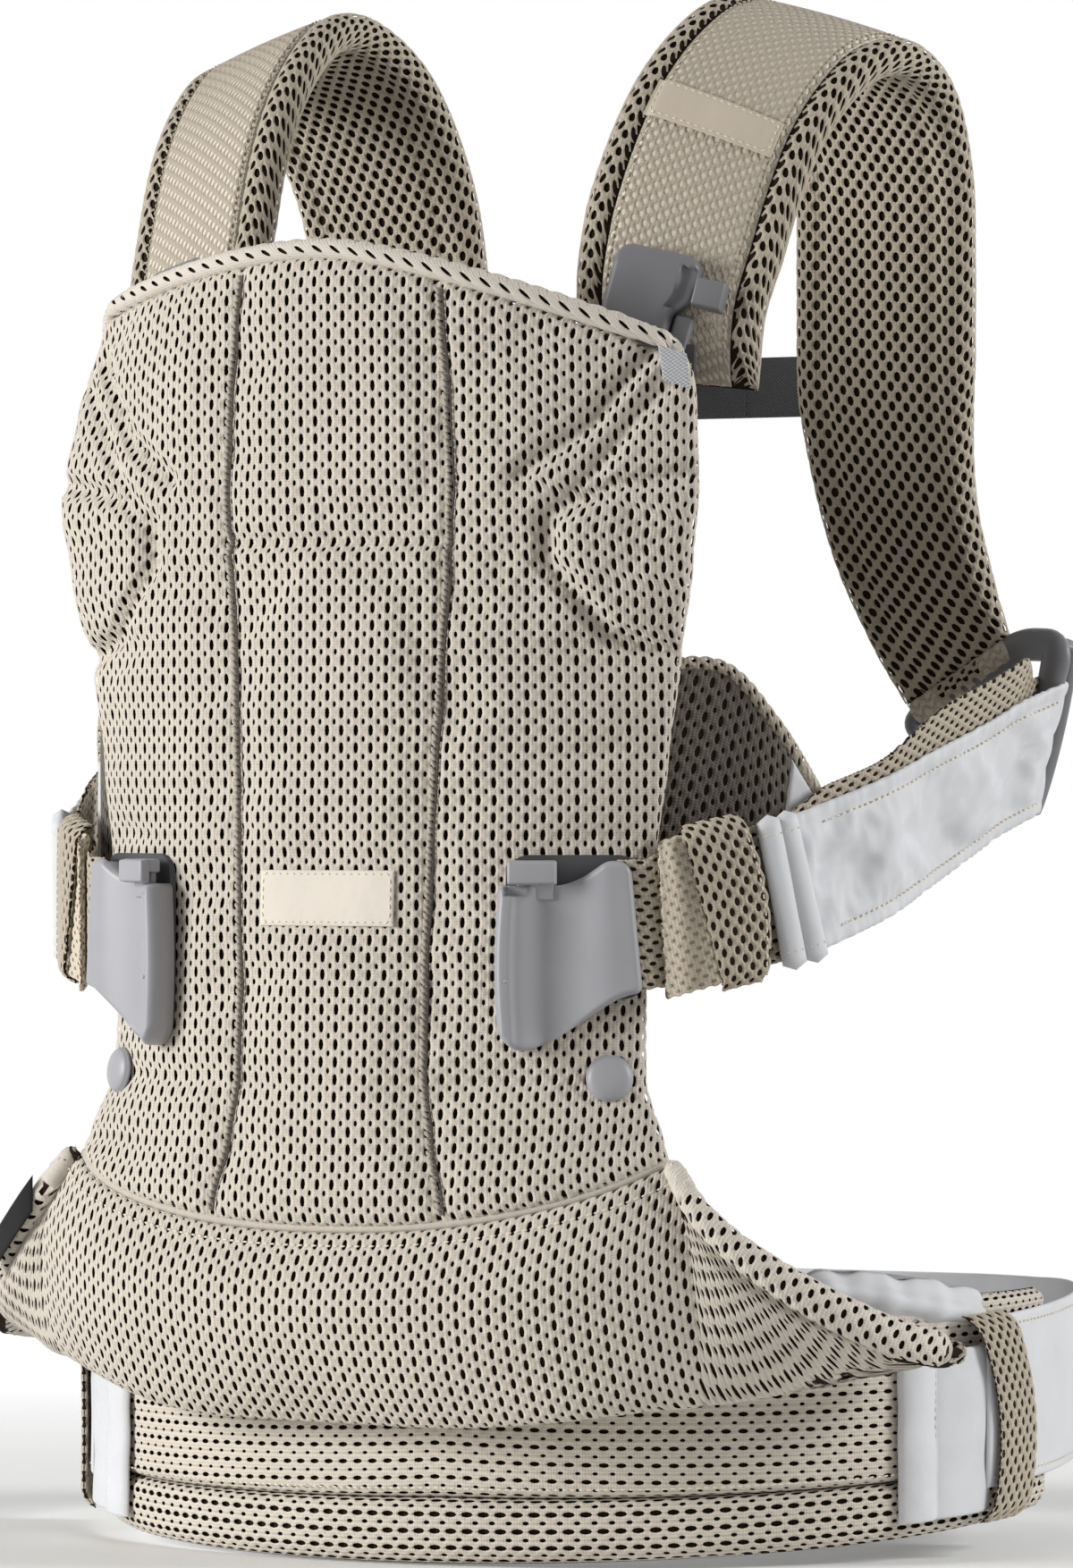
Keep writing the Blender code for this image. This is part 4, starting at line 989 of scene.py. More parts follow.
@lru_cache(maxsize=None)
def panel_settling():
    return settled("panel_cloth", panel_rest, (73, 85), panel_held, 0.02, 4.0, 2.0)


def panel_swell(u, v):
    """How far the outer face of the padding stands off the middle of the panel, in millimetres."""
    return panel_form(u, v) + 0.7 * panel_settling()(u, v)


def panel_hollow(u, v):
    return 3.9 + 0.3 * ripple(250 * u, 330 * v, 2.0)


def panel_column(u, off, low=0.012, high=0.985, count=110):
    """Points and directions up one column of the panel's outer face."""
    points, ways = [], []
    for k in range(count + 1):
        v = low + (high - low) * k / count
        out = facing(panel_face, u, v)
        ways.append(out)
        points.append(panel_face(u, v) + out * (panel_swell(u, v) - 4.6 + off) * MM)
    return points, ways


def bend_at_fold(item):
    """Moves a piece's placement into its mesh; cloth that runs across the fold of the head support is not bent
    there.
    """
    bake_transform(item)
    return item


def wrapped(outer, inner, reach=9):
    """The outer net carried round its sides onto the back, and the back's net without what that covers."""
    front = [b[reach:0:-1] + a + b[-2:-reach - 2:-1] for a, b in zip(outer, inner)]
    back = [line[reach - 1:len(line) - reach + 1] for line in inner]
    return front, flipped(back)


def build_panel_pad():
    size, rolls = (PANEL_WIDE, PANEL_TALL), (6, 6, 4.5, 4)
    outer, inner = padded_nets(panel_face, size, rolls, panel_swell, panel_hollow, (112, 136))
    core = closed_pad("panel_padding", inset(outer, 1.9), flipped(inset(flipped(inner), 1.9)), "mesh_core")
    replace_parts(core, *PANEL_NODES)
    pieces = [core]
    for name, net in zip(("panel_mesh", "panel_mesh_back"), wrapped(outer, inner)):
        flat = flat_pattern(net, *middle_of(net), height_of)
        cover = perforate(name, net, flat, hole_sizes(), "spacer_mesh_beige")
        pieces.append(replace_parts(cover, *PANEL_NODES))
    for u, name in ((1 / 3, "panel_seam_left"), (2 / 3, "panel_seam_right")):
        points, ways = panel_column(u, 1.0)
        cord = stitch_line(name, points, ways, "seam_cord_beige", sizes().twist, (3.6, 1.8, 2.1), radians(42))
        pieces.append(cord)
        # Beside each cord, a row of dark lumps flush with the cloth: the painted shadow that the raised cord casts
        points, ways = panel_column(u + 0.0085, 0.75)
        painted_shadow = stitch_line(name + "_groove", points, ways, "thread_dark", sizes().twist, (3.2, 1.1, 0.5))
        pieces.append(painted_shadow)
    for item in pieces:
        bend_at_fold(item)


# Rolls and thin cloth

def tube_net(points, radii, first, around=26, spread=1.0):
    """A net whose rows run round a path from the first direction; spread widens it the other way."""
    last = len(points) - 1
    spines = []
    for i, point in enumerate(points):
        run = (points[min(i + 1, last)] - points[max(i - 1, 0)]).normalized()
        a = (first - run * first.dot(run)).normalized()
        spines.append((point, a, a.cross(run)))
    net = []
    for j in range(around + 1):
        turn = 2 * pi * j / around
        line = []
        for (middle, a, b), radius in zip(spines, radii):
            line.append(middle + (a * cos(turn) + b * sin(turn) * spread) * radius * MM)
        net.append(line)
    return net


def round_ends(points, radii, reach):
    """Radii that close the ends of a roll over a reach in millimetres."""
    run = [0.0]
    for a, b in zip(points, points[1:]):
        run.append(run[-1] + (b - a).length / MM)
    return [r * max(rolled(min(d, run[-1] - d), reach), 0.02) for r, d in zip(radii, run)]


def closed_tube(name, net, title):
    """A closed body from a net that runs round a path and shuts at its ends."""
    mesh = net_mesh(name, net)
    item = add_piece(name, mesh, title)
    welded(mesh, 0.00001, True)
    return item


CAP_REACH = 17.0


def mesh_roll(name, points, radii, first, holes, title, body, nodes, slot, lean=0.0):
    """A padded roll: a closed core, mesh cloth with its holes aslant by lean, and plain caps at its ends."""
    net = tube_net(points, radii, first)
    inside = tube_net(points, [max(r - 1.5, r * 0.5) for r in radii], first)
    core = closed_tube(name + "_padding", inside, "mesh_core")
    flat = [[(x + lean * y, y) for x, y in line] for line in flat_pattern(net, 0, 0)]
    cover = perforate(name + "_mesh", net, flat, holes, title)
    finish_piece(core, body, *nodes, slot=slot, fill=0.7)
    finish_piece(cover, body, *nodes, slot=slot)
    near, far = (sum(1 for p in points if (p - points[end]).length < CAP_REACH * MM) for end in (0, -1))
    for k, end in enumerate((slice(0, near), slice(-far, None))):
        cap = tube_net(points[end], [max(r - 0.4, r * 0.8) for r in radii[end]], first)
        finish_piece(closed_tube(f"{name}_cap_{k}", cap, "cap_mesh_cream"), body, slot=slot)


CLOTH_EDGE = 1.6


def cloth_nets(surface, thickness, size, counts, crumple=None):
    """Outer and inner nets of thin cloth with soft edges, drawn up or in by crumple millimetres."""

    def pair(u, v):
        out = facing(surface, u, v)
        edge = min(u * size[0], (1 - u) * size[0], v * size[1], (1 - v) * size[1])
        shift = crumple(u, v) if crumple else 0.0
        middle = surface(u, v) - out * (thickness / 2 - shift) * MM
        half = out * thickness / 2 * rolled(edge, CLOTH_EDGE) * MM
        return middle + half, middle - half

    us, vs = (edge_stops(span, CLOTH_EDGE, count) for span, count in zip(size, counts))
    return two_nets(us, vs, pair)


def declare_sheet(net):
    """Measures a piece of cloth along the middle of its net, the size of its cut, and keeps nothing."""
    column, row = middle_of(net)
    wide = sum((b - a).length for a, b in zip(net[row], net[row][1:]))
    tall = sum((b[column] - a[column]).length for a, b in zip(net, net[1:]))


def cloth_piece(name, surface, thickness, size, counts, title, body, nodes, slot, crumple=None):
    """A sheet of cloth with a real thickness and soft edges."""
    outer, inner = cloth_nets(surface, thickness, size, counts, crumple)
    item = finish_piece(closed_pad(name, outer, inner, title), body, *nodes, slot=slot)
    declare_sheet(outer)
    return item


def on_side(surface, side):
    """A surface drawn for the right side, turned over to the left where side is -1, still facing outwards."""
    if side > 0:
        return surface

    def at(u, v):
        return mirrored(surface(1 - u, v), -1)

    return at


def topstitch(name, surface, spots, body, slot, title="thread_cream", lift=0.15, size=(2.1, 0.7, 0.55)):
    points, ways = sewn_on(surface, spots, lift)
    return finish_piece(stitch_line(name, points, ways, title, None, size), body, slot=slot)


def row_of(start, end, count=40):
    """Pairs of shares evenly along a straight row."""
    return [
        (start[0] + (end[0] - start[0]) * k / count, start[1] + (end[1] - start[1]) * k / count)
        for k in range(count + 1)
    ]


# Head support roll, seat pouch and leg rolls

def build_head_roll():
    shares = [-0.985 + 1.97 * i / 90 for i in range(91)]
    drops = [7.2 - 15.0 * ramp(abs(s), 0.93, 1.0) for s in shares]
    points = [panel_point(s, head_top(s)) + Vector((0, 3.2, d)) * MM for s, d in zip(shares, drops)]
    radii = [4.1 * min(1.0, 0.62 + 2.0 * (1 - abs(s))) for s in shares]
    mesh_roll("head_support_roll", points, round_ends(points, radii, 6), Vector((0, 0, -1)),
              even_holes(7.4, 12.9, 2.6, 3.0, 0.4), "binding_mesh_cream", "head", ["head_support_roll"],
              "cream_mesh", 0.35)


LEG_EDGE = rail([
    place(122, -143, 136),
    place(136, -145, 116),
    place(155, -135, 96),
    place(173, -116, 82),
    place(189, -88, 73),
    place(194, -64, 70),
])
SEAT_LOW = rail([
    place(0, -164, 46),
    place(50, -164, 46),
    place(95, -157, 50),
    place(140, -132, 56),
    place(171, -100, 63),
    place(185, -66, 71),
])
SEAT_SEAM_SHARE = 0.6
SEAT_WIDE, SEAT_TALL, SEAT_ROLL = 420.0, 150.0, 5.0
SEAT_BULGE = 13.0
SEAT_BACK_ANGLE = 68.0
SEAT_HITCH = ((0.0, 0.0), (0.25, 1.0), (0.6, 11.0), (0.85, 8.0), (1.0, 0.0))


def seat_rim(w):
    """The upper edge of the seat on the right: along the curved seam, then along the leg opening."""
    if w <= SEAT_SEAM_SHARE:
        share = w / SEAT_SEAM_SHARE
        return panel_point(share, seam_height(share) - 0.4)
    return LEG_EDGE((w - SEAT_SEAM_SHARE) / (1 - SEAT_SEAM_SHARE))


def seat_outward(w):
    """The level direction in which the seat bulges."""
    angle = radians(12 + 58 * w) * min(1.0, w * 3)
    return Vector((sin(angle), -cos(angle), 0.0))


@lru_cache(maxsize=None)
def seat_profile(w, side):
    """The run of cloth from the belt round the bottom and up to the rim, drawn for the right."""
    rim, low, out = seat_rim(w), SEAT_LOW(w), seat_outward(w)
    if side < 0:
        low = low + Vector((0, 0, between(SEAT_HITCH, w)[0])) * MM
    back = belt_point(SEAT_BACK_ANGLE * w, 1.2 + 16.0 * w**2.5, 60.0 + 8.0 * w)
    bulge = SEAT_BULGE * MM * (1 - 0.55 * w)
    return rail([
        back,
        low * 0.5 + back * 0.5 + Vector((0, 0, -4 * MM)),
        low + Vector((0, 0, -1 * MM)),
        low * 0.72 + rim * 0.28 + out * bulge * 0.85,
        low * 0.35 + rim * 0.65 + out * bulge,
        rim,
    ])


def seat_surface(u, v):
    w = abs(2 * u - 1)
    side = 1 if u >= 0.5 else -1
    return mirrored(seat_profile(round(w, 6), side)(v), side)


def seat_half(u, v):
    """Half the thickness of the seat's padding, in millimetres."""
    w = abs(2 * u - 1)
    return 4.5 * (0.42 + 0.5 * (sin(pi * min(max(v, 0.0), 1.0)) ** 0.6) * (1 - 0.6 * w))


def seat_swell(u, v):
    pull = 0.8 * ramp(abs(2 * u - 1), 0.35, 0.6) * ripple(620 * u, 90 * v, 0.8)
    wave = 0.9 * ripple(300 * u, 160 * v, 1.3) * ramp(v, 0.1, 0.3) * (1 - ramp(v, 0.85, 1.0)) * 0.6
    return seat_half(u, v) + wave + pull * 0.5


def seat_pair(u, v):
    """A point of the seat's outer net and the one behind it on its inner net."""
    out = facing(seat_surface, u, v)
    half = seat_half(u, v)
    middle = seat_surface(u, v) - out * half * MM
    tall = SEAT_TALL - 95.0 * abs(2 * u - 1)
    swell = rolled(min(u, 1 - u) * SEAT_WIDE, SEAT_ROLL) * rolled(v * tall, SEAT_ROLL)
    swell *= rolled((1 - v) * tall, 3.6)
    return middle + out * seat_swell(u, v) * swell * MM, middle - out * half * swell * MM


def build_seat():
    us, vs = edge_stops(SEAT_WIDE, SEAT_ROLL, 150), edge_stops(SEAT_TALL, SEAT_ROLL, 62)
    outer, inner = two_nets(us, vs, seat_pair)
    core = closed_pad("seat_padding", inset(outer, 1.3), flipped(inset(flipped(inner), 1.0)), "mesh_core")
    finish_piece(core, "carrier", "seat_pouch", slot="beige_mesh", fill=0.4)
    for name, net in zip(("seat_mesh", "seat_mesh_back"), wrapped(outer, inner)):
        flat = flat_pattern(net, len(net[0]) // 2, len(net) - 1)
        cover = perforate(name, net, flat, hole_sizes(), "spacer_mesh_beige")
        finish_piece(cover, "carrier", "seat_pouch", slot="beige_mesh")
    build_seat_seam()


def build_seat_seam():
    """The sewn edge between panel and seat: a cord of cloth in the crease and a row of stitches below it."""
    shares = [-0.99 + 1.98 * k / 120 for k in range(121)]
    points = [panel_point(s, seam_height(s)) - panel_outward(s, seam_height(s)) * 3.6 * MM for s in shares]
    net = tube_net(points, round_ends(points, [1.9] * 121, 3), Vector((0, 0, 1)), 10)
    finish_piece(closed_tube("seat_seam_cord", net, "spacer_mesh_plain"), "carrier", slot="beige_mesh")
    spots = [(0.5 + 0.5 * w * SEAT_SEAM_SHARE, 0.94) for w in [-0.97 + 1.94 * k / 120 for k in range(121)]]
    topstitch("seat_seam_stitches", seat_surface, spots, "carrier", "beige_mesh", lift=0.1,
              size=(2.3, 0.8, 0.6))


def leg_radius(t):
    return 7.5 * (0.45 + 0.55 * min(1.0, 1.6 * t)) * (1 - 0.2 * ramp(t, 0.45, 1.0))


def leg_roll_path(side):
    points, radii = [], []
    for i in range(61):
        t = i / 60
        radius = leg_radius(t)
        out = seat_outward(SEAT_SEAM_SHARE + (1 - SEAT_SEAM_SHARE) * t)
        lean = Vector((out.x * 0.25, out.y * 0.25 + 0.35, 1.0)).normalized()
        tuck = ramp(t, 0.86, 1.0)
        sag = Vector((-9.0 * tuck, 0, -4.0 * ramp(t, 0.35, 0.75) - tuck))
        points.append(mirrored(LEG_EDGE(t) + (lean * (radius - 0.8) + sag) * MM, side))
        radii.append(radius + 0.3)
    return points, radii


def build_leg_rolls():
    for side in (1, -1):
        points, radii = leg_roll_path(side)
        if side < 0:
            points, radii = points[::-1], radii[::-1]
        name = side_name("leg_roll", side)
        mesh_roll(name, points, round_ends(points, radii, 5), Vector((-side * 0.6, 0.5, -0.6)),
                  even_holes(7.2, 7.4, 2.2, 3.8, 0.45), "binding_mesh_cream", "carrier", [name], "cream_mesh",
                  0.5 * side)


# Waist belt

BELT_HALF = 178.0
BELT_FRONT = 150.0
BELT_BACK = 130.0
BELT_FLAT = 85.0
BELT_TURN = 10.0
PAD_END = 92.0
PAD_SEAM = 0.24
PAD_THICKNESS = 12.0
WAIST_LEVEL = 57.0
BUCKLE_X = -38.0
BAND_THICKNESS = 2.4
WAIST_STRAP_HEIGHT = 60.0
WAIST_STRAP_ENDS = {1: BUCKLE_X + 9.0, -1: 36.0 - BUCKLE_X}


def belt_line(turn):
    """The outline of the belt: 0 degrees is the front, 90 the right side and 180 the back."""
    if turn <= 90:
        return Vector((BELT_HALF * sin(radians(turn)), -BELT_FRONT * cos(radians(turn))))
    if turn <= 150:
        sweep = radians((150 - turn) * 1.5)
        return Vector((BELT_FLAT + (BELT_HALF - BELT_FLAT) * sin(sweep), BELT_BACK * cos(sweep)))
    return Vector((BELT_FLAT * (180 - turn) / 30, BELT_BACK))


def belt_point(turn, off, height):
    """A point off millimetres outside the belt's outer face."""
    ahead, behind = belt_line(abs(turn) + 0.5), belt_line(max(abs(turn) - 0.5, 0))
    run = (ahead - behind).normalized()
    at = belt_line(abs(turn))
    point = place(at.x, at.y, height) + Vector((run.y, -run.x, 0)) * off * MM
    return point if turn >= 0 else mirrored(point, -1)


def belt_rise(turn):
    """How far the belt climbs from the front to the back."""
    return 24.0 * (1 - cos(radians(turn))) / 2 - 4.4


def belt_span(start, end, low, high, off):
    """A surface round the belt between two angles and two heights above its lower edge."""

    def at(u, v):
        turn = start + (end - start) * u
        return belt_point(turn, off, belt_rise(turn) + low + (high - low) * v)

    return at


def pad_span(low, high):
    """The outer face of the belt's pad between two shares of its height."""

    def at(u, v):
        turn = PAD_END * (2 * u - 1) + BELT_TURN
        tall = 97.0 - 19.0 * abs(2 * u - 1)
        return belt_point(turn, 0.0, belt_rise(turn) + tall * (low + (high - low) * v))

    return at


# Name, from and to which share of the height, rows, relief and plumpness of the holes, rolled edges, fullness
BELT_PARTS = (
    ("belt_roll", 0.0, PAD_SEAM, 26, 1.0, 1.08, (7, 7, 8, 3), 6.2),
    ("belt_pad", PAD_SEAM, 1.0, 46, 0.8, 0.9, (7, 7, 2.5, 5), 5.8),
)


def build_belt_pads():
    """The roll along the belt's lower edge and the pad above it."""
    for name, low, high, rows, relief, plump, rolls, full in BELT_PARTS:

        def front(u, v, full=full):
            return full + 0.35 * ripple(520 * u, 60 * v, 0.4)

        size, counts = (530.0, 92.0 * (high - low)), (180, rows)
        outer, inner = padded_nets(pad_span(low, high), size, rolls, front, lambda u, v: 5.6, counts, 6.0)
        core = closed_pad(name + "_padding", inset(outer, 1.7), inner, "mesh_core", "polyester_cloth_grey")
        finish_piece(core, "carrier", "waist_pad", slot="beige_mesh", fill=0.6)
        flat = flat_pattern(outer, *middle_of(outer))
        cover = perforate(name + "_mesh", outer, flat, hole_sizes(True, relief, plump), "spacer_mesh_turned")
        finish_piece(cover, "carrier", "waist_pad", slot="beige_mesh")


def build_waist_pad():
    build_belt_pads()
    lining = belt_span(BELT_TURN + PAD_END, BELT_TURN - PAD_END, 4, 74, -PAD_THICKNESS - 0.6)

    def crumple(u, v):
        return 0.5 * ripple(520 * u, 70 * v, 2.2)

    cloth_piece("belt_lining_cloth", lining, 1.6, (500, 70), (120, 16), "polyester_cloth_grey", "carrier",
                ["belt_lining"], "grey_cloth", crumple)
    for side in (1, -1):
        build_lining_puff(side)
    spots = row_of((0.02, PAD_SEAM + 0.035), (0.98, PAD_SEAM + 0.035), 200)
    topstitch("belt_seam_stitches", pad_span(0.0, 1.0), spots, "carrier", "beige_mesh", lift=1.0,
              size=(2.2, 0.7, 0.6))


def build_lining_puff(side):
    """The loose upper edge of the lining, bunched up behind the end of the leg roll."""
    turns = [44.0 + BELT_TURN * side + 32.0 * k / 40 for k in range(41)]
    points = [mirrored(belt_point(t, -4.5, 90.0 - 9.0 * k / 40), side) for k, t in enumerate(turns)]
    radii = [9.6 - 2.6 * k / 40 + 0.8 * ripple(9 * k, 0, 0.5) for k in range(41)]
    net = tube_net(points, round_ends(points, radii, 12), Vector((0, 0, 1)), 30, 0.8)
    for j, line in enumerate(net):
        for k, point in enumerate(line):
            fold = 1.3 * sin(8 * pi * j / 30 + 0.07 * k) + 0.6 * ripple(9 * k, 4 * j, 1.9)
            line[k] = point + (point - points[k]).normalized() * (fold * rolled(min(k, 40 - k), 6)) * MM
    puff = closed_tube(side_name("belt_lining_puff", side), net, "polyester_cloth_grey")
    finish_piece(puff, "carrier", "belt_lining", slot="grey_cloth", fill=0.3)


def closed_loop(surface, drop):
    """A band whose upper and lower ends turn in by drop millimetres."""

    def at(u, v):
        turn = max(0.0, abs(2 * v - 1) - 0.8) / 0.2
        return surface(u, v) - facing(surface, u, 0.5) * drop * MM * turn * turn

    return at


def level_back(surface):
    """A waist strap that runs level once it reaches the straight back of the belt."""

    def at(u, v):
        point = surface(u, v)
        middle = surface(u, 0.5)
        share = min(1.0, max(0.0, (middle.y / (BELT_BACK * MM) - 0.55) / 0.4))
        point.z += (WAIST_LEVEL * MM - middle.z) * share
        return point

    return at


def mesh_band(name, surface, thickness, size, counts, holes, title, body, nodes, slot, core="mesh_core"):
    """A thin band of mesh cloth: a closed core with perforated cloth on its face and its back."""
    outer, inner = cloth_nets(surface, thickness, size, counts)
    filling = closed_pad(name + "_core", inset(outer, 0.7), flipped(inset(flipped(inner), 0.7)), core)
    finish_piece(filling, body, *nodes, slot=slot)
    for end, net in (("_mesh", outer), ("_mesh_back", flipped(inner))):
        flat = flat_pattern(net, *middle_of(net))
        finish_piece(perforate(name + end, net, flat, holes, title), body, *nodes, slot=slot)
    declare_sheet(outer)


SLEEVE_TURNS = {1: (67.5, 84.0), -1: (41.0, 62.0)}
SLEEVE_HEM = 0.36


def keeper_span(turn):
    """The mesh loop over the waist strap, which bows backwards between its ends."""

    def at(u, v):
        angle = 75.5 + turn + 11.5 * v - 15.0 * v * v + 8.4 * (u - 0.5)
        return belt_point(angle, 9.4, belt_rise(angle) + 1.0 + 76.0 * v)

    return at


def build_sleeve(side):
    """The grey end that is sewn round the pad, gathered into a narrow and a wide roll."""
    sleeve = on_side(belt_span(*SLEEVE_TURNS[side], 6.0, 65.0, 2.6), side)

    def gathers(u, v):
        w = u if side > 0 else 1 - u
        narrow = 3.4 * abs(sin(pi * min(w / SLEEVE_HEM, 1.0))) ** 0.6
        wide = 2.6 * abs(sin(pi * max((w - SLEEVE_HEM) / (1 - SLEEVE_HEM), 0.0))) ** 0.55
        return narrow + wide + 0.7 * ripple(50 * w, 110 * v, 0.3)

    name = side_name("waist_sleeve", side)
    cloth_piece(name + "_cloth", sleeve, 2.0, (42, 83), (52, 40), "polyester_cloth_grey", "carrier", [name],
                "grey_cloth", gathers)
    lower = row_of((0.05, 0.06), (0.95, 0.06), 20)
    topstitch(name + "_stitches", sleeve, lower, "carrier", "grey_cloth", lift=0.3)
    near = SLEEVE_HEM if side > 0 else 1 - SLEEVE_HEM
    hem = row_of((near, 0.04), (near, 0.96), 30)
    topstitch(name + "_hem", sleeve, hem, "carrier", "grey_cloth", "thread_light", 0.1)


def build_waist_strap(side):
    low = 44.0 - WAIST_STRAP_HEIGHT / 2
    last = 180.0 - 30.0 * WAIST_STRAP_ENDS[side] / BELT_FLAT
    span = belt_span(72.5 + BELT_TURN * side, last, low, low + WAIST_STRAP_HEIGHT, 3.2 + BAND_THICKNESS)
    strap = on_side(level_back(span), side)

    def waves(u, v):
        return 0.5 * ripple(280 * u, 60 * v, 1.1)

    name = side_name("waist_strap", side)
    cloth_piece(name + "_cloth", strap, BAND_THICKNESS, (280, 60), (90, 18), "polyester_cloth_grey",
                "carrier", [name], "grey_cloth", waves)
    for k, v in enumerate((0.06, 0.94)):
        hem = row_of((0.01, v), (0.99, v), 90)
        topstitch(f"{name}_stitches_{k}", strap, hem, "carrier", "grey_cloth", lift=0.3)


def build_waist_sides():
    for side in (1, -1):
        build_sleeve(side)
        build_waist_strap(side)
        keeper = on_side(closed_loop(keeper_span(BELT_TURN * side), 5.0), side)
        name = side_name("waist_keeper", side)
        mesh_band(name, keeper, 2.4, (24, 76), (14, 34), even_holes(5.2, 6.6, 2.0, 3.2), "strap_mesh_taupe",
                  "carrier", [name], "cream_mesh")


# Shoulder straps, back webbing and slider rings

STRAP_WIDTH = 74.0
STRAP_THICKNESS = 14.0
STRAP_END_WIDTH = 0.66
STRAP_LONG = 560.0
STRAP_SEAM = 0.70
WEBBING_LEVEL = 420.0
WEBBING_HEIGHT = 22.0
SHOULDER_FRAME = local_frame(place(102, -108, 433), Vector((0.30, -0.94, 0.16)))
STRAP_PATH = rail([
    SHOULDER_FRAME @ (Vector((0, -24, -STRAP_THICKNESS / 2 - 0.6)) * MM),
    SHOULDER_FRAME @ (Vector((0, 12, -STRAP_THICKNESS / 2 - 0.6)) * MM),
    place(104, -74, 498),
    place(109, -41, 528),
    place(112, -11, 534),
    place(110, 20, 520),
    place(106, 40, 488),
    place(103, 47, 451),
    place(102, 50, 409),
    place(107, 53, 363),
    place(119, 54, 329),
    place(130, 53, 308),
])
STRAP_ACROSS = rail([
    Vector((0.95, 0.28, -0.10)) * MM,
    Vector((0.94, 0.27, -0.20)) * MM,
    Vector((0.92, 0.22, -0.32)) * MM,
    Vector((0.93, 0.05, -0.36)) * MM,
    Vector((0.97, -0.04, -0.24)) * MM,
    Vector((1.00, -0.05, -0.03)) * MM,
    Vector((0.98, -0.02, 0.16)) * MM,
    Vector((0.84, 0.00, 0.50)) * MM,
])


def strap_width(u):
    front = 0.86 + 0.14 * min(1.0, u * 8)
    back = 1.0 - (1.0 - STRAP_END_WIDTH) * max(0.0, (u - 0.74) / 0.26)
    return STRAP_WIDTH * min(front, back)


def strap_thick(u):
    end = max(0.0, 1 - min(2 * u, 1 - u) / 0.06)
    return STRAP_THICKNESS * (1 - 0.62 * end) * max(rolled(min(u, 1 - u) * STRAP_LONG, 4.0), 0.04)


@lru_cache(maxsize=None)
def strap_frame(u):
    """The middle of the strap at a share of its length from the clip, with its ways across and outwards."""
    across = STRAP_ACROSS(u).normalized()
    run = STRAP_PATH(min(u + 0.004, 1.0)) - STRAP_PATH(max(u - 0.004, 0.0))
    return STRAP_PATH(u), across, across.cross(run).normalized()


def strap_relief(x, z, half, bend):
    """How the strap's padding rises between its seams and dips at them, in millimetres outwards."""
    full = 2 * bend / STRAP_THICKNESS
    seam = STRAP_SEAM * half
    if z > 0:
        return full * (0.9 * max(0.0, 1 - (x / seam) ** 2) - 1.5 * valley(abs(x) - seam, 1.8))
    return full * (1.4 * valley(abs(x) - 0.64 * half, 2.2) - 0.9 * max(0.0, 1 - (x / half / 0.6) ** 2))


def strap_face(u, shrink=0.0):
    """Distances across and outwards over the dotted face, from its left seam to its right seam."""
    half, bend = strap_width(u) / 2 - shrink, max(strap_thick(u) / 2 - shrink, 0.1)
    seam = STRAP_SEAM * half
    spots = [(seam * (k / 8 - 1), bend) for k in range(17)]
    return [(x, z + strap_relief(x, z, half, bend)) for x, z in spots]


def strap_wrap(u, shrink=0.0):
    """Distances round the mesh part of the section, from the right seam by the inner face to the left."""
    half, bend = strap_width(u) / 2 - shrink, max(strap_thick(u) / 2 - shrink, 0.1)
    flat, seam = half - bend, STRAP_SEAM * half
    right = [(seam + (flat - seam) * k / 4, bend) for k in range(4)]
    right += [(flat + bend * sin(pi * k / 10), bend * cos(pi * k / 10)) for k in range(11)]
    right += [(flat * (1 - k / 12), -bend) for k in range(1, 12)]
    spots = right + [(0.0, -bend)] + [(-x, z) for x, z in reversed(right)]
    return [(x, z + strap_relief(x, z, half, bend)) for x, z in spots]


def strap_line(u, spots):
    middle, across, out = strap_frame(u)
    return [middle + (across * x + out * z) * MM for x, z in spots]


def strap_outer(u, v):
    """The outer face of the right strap: u runs across it and v along it from the clip."""
    middle, across, out = strap_frame(v)
    half = strap_width(v) / 2
    x = (2 * u - 1) * half
    bend = strap_thick(v) / 2
    return middle + (across * x + out * (bend + strap_relief(x, 1.0, half, bend))) * MM


def for_side(net, side):
    """A net drawn for the right side, turned over to the left where side is -1, still facing outwards."""
    if side > 0:
        return net
    return flipped([[mirrored(point, -1) for point in line] for line in net])


def build_shoulder_straps():
    shares = edge_stops(STRAP_LONG, 4.0, 112)
    for side in (1, -1):
        name = side_name("shoulder_strap", side)
        face = for_side([strap_line(u, strap_face(u)) for u in shares], side)
        wrap = for_side([strap_line(u, strap_wrap(u)) for u in shares], side)
        rounds = []
        for u in shares:
            line = strap_line(u, strap_wrap(u, 1.4) + strap_face(u, 1.4)[1:-1])
            rounds.append(line + line[:1])
        core = closed_tube(name + "_padding", for_side(rounds, side), "mesh_core")
        finish_piece(core, "carrier", name, slot="taupe_mesh", fill=0.7)
        dots = closed_pad(name + "_dots", inset(face, 0.4), inset(face, 1.0), "raised_dots_cream")
        finish_piece(dots, "carrier", name, slot="taupe_mesh")
        covers = (
            ("_face", face, even_holes(4.4, 5.0, 1.55, 2.4, 0.35), "strap_face_taupe"),
            ("_mesh", wrap, even_holes(5.8, 7.2, 2.7, 3.8, 0.5), "strap_mesh_taupe"),
        )
        for end, net, holes, title in covers:
            cover = perforate(name + end, net, flat_pattern(net, *middle_of(net)), holes, title)
            finish_piece(cover, "carrier", name, slot="taupe_mesh")
        outer = on_side(strap_outer, side)
        for k, u in enumerate((0.5 - STRAP_SEAM / 2 + 0.03, 0.5 + STRAP_SEAM / 2 - 0.03)):
            seam = row_of((u, 0.02), (u, 0.98), 220)
            topstitch(f"{name}_stitches_{k}", outer, seam, "carrier", "taupe_mesh", "thread_taupe", 0.2,
                      (2.2, 0.8, 0.7))
        build_ring(side)
        build_strap_loop(side)


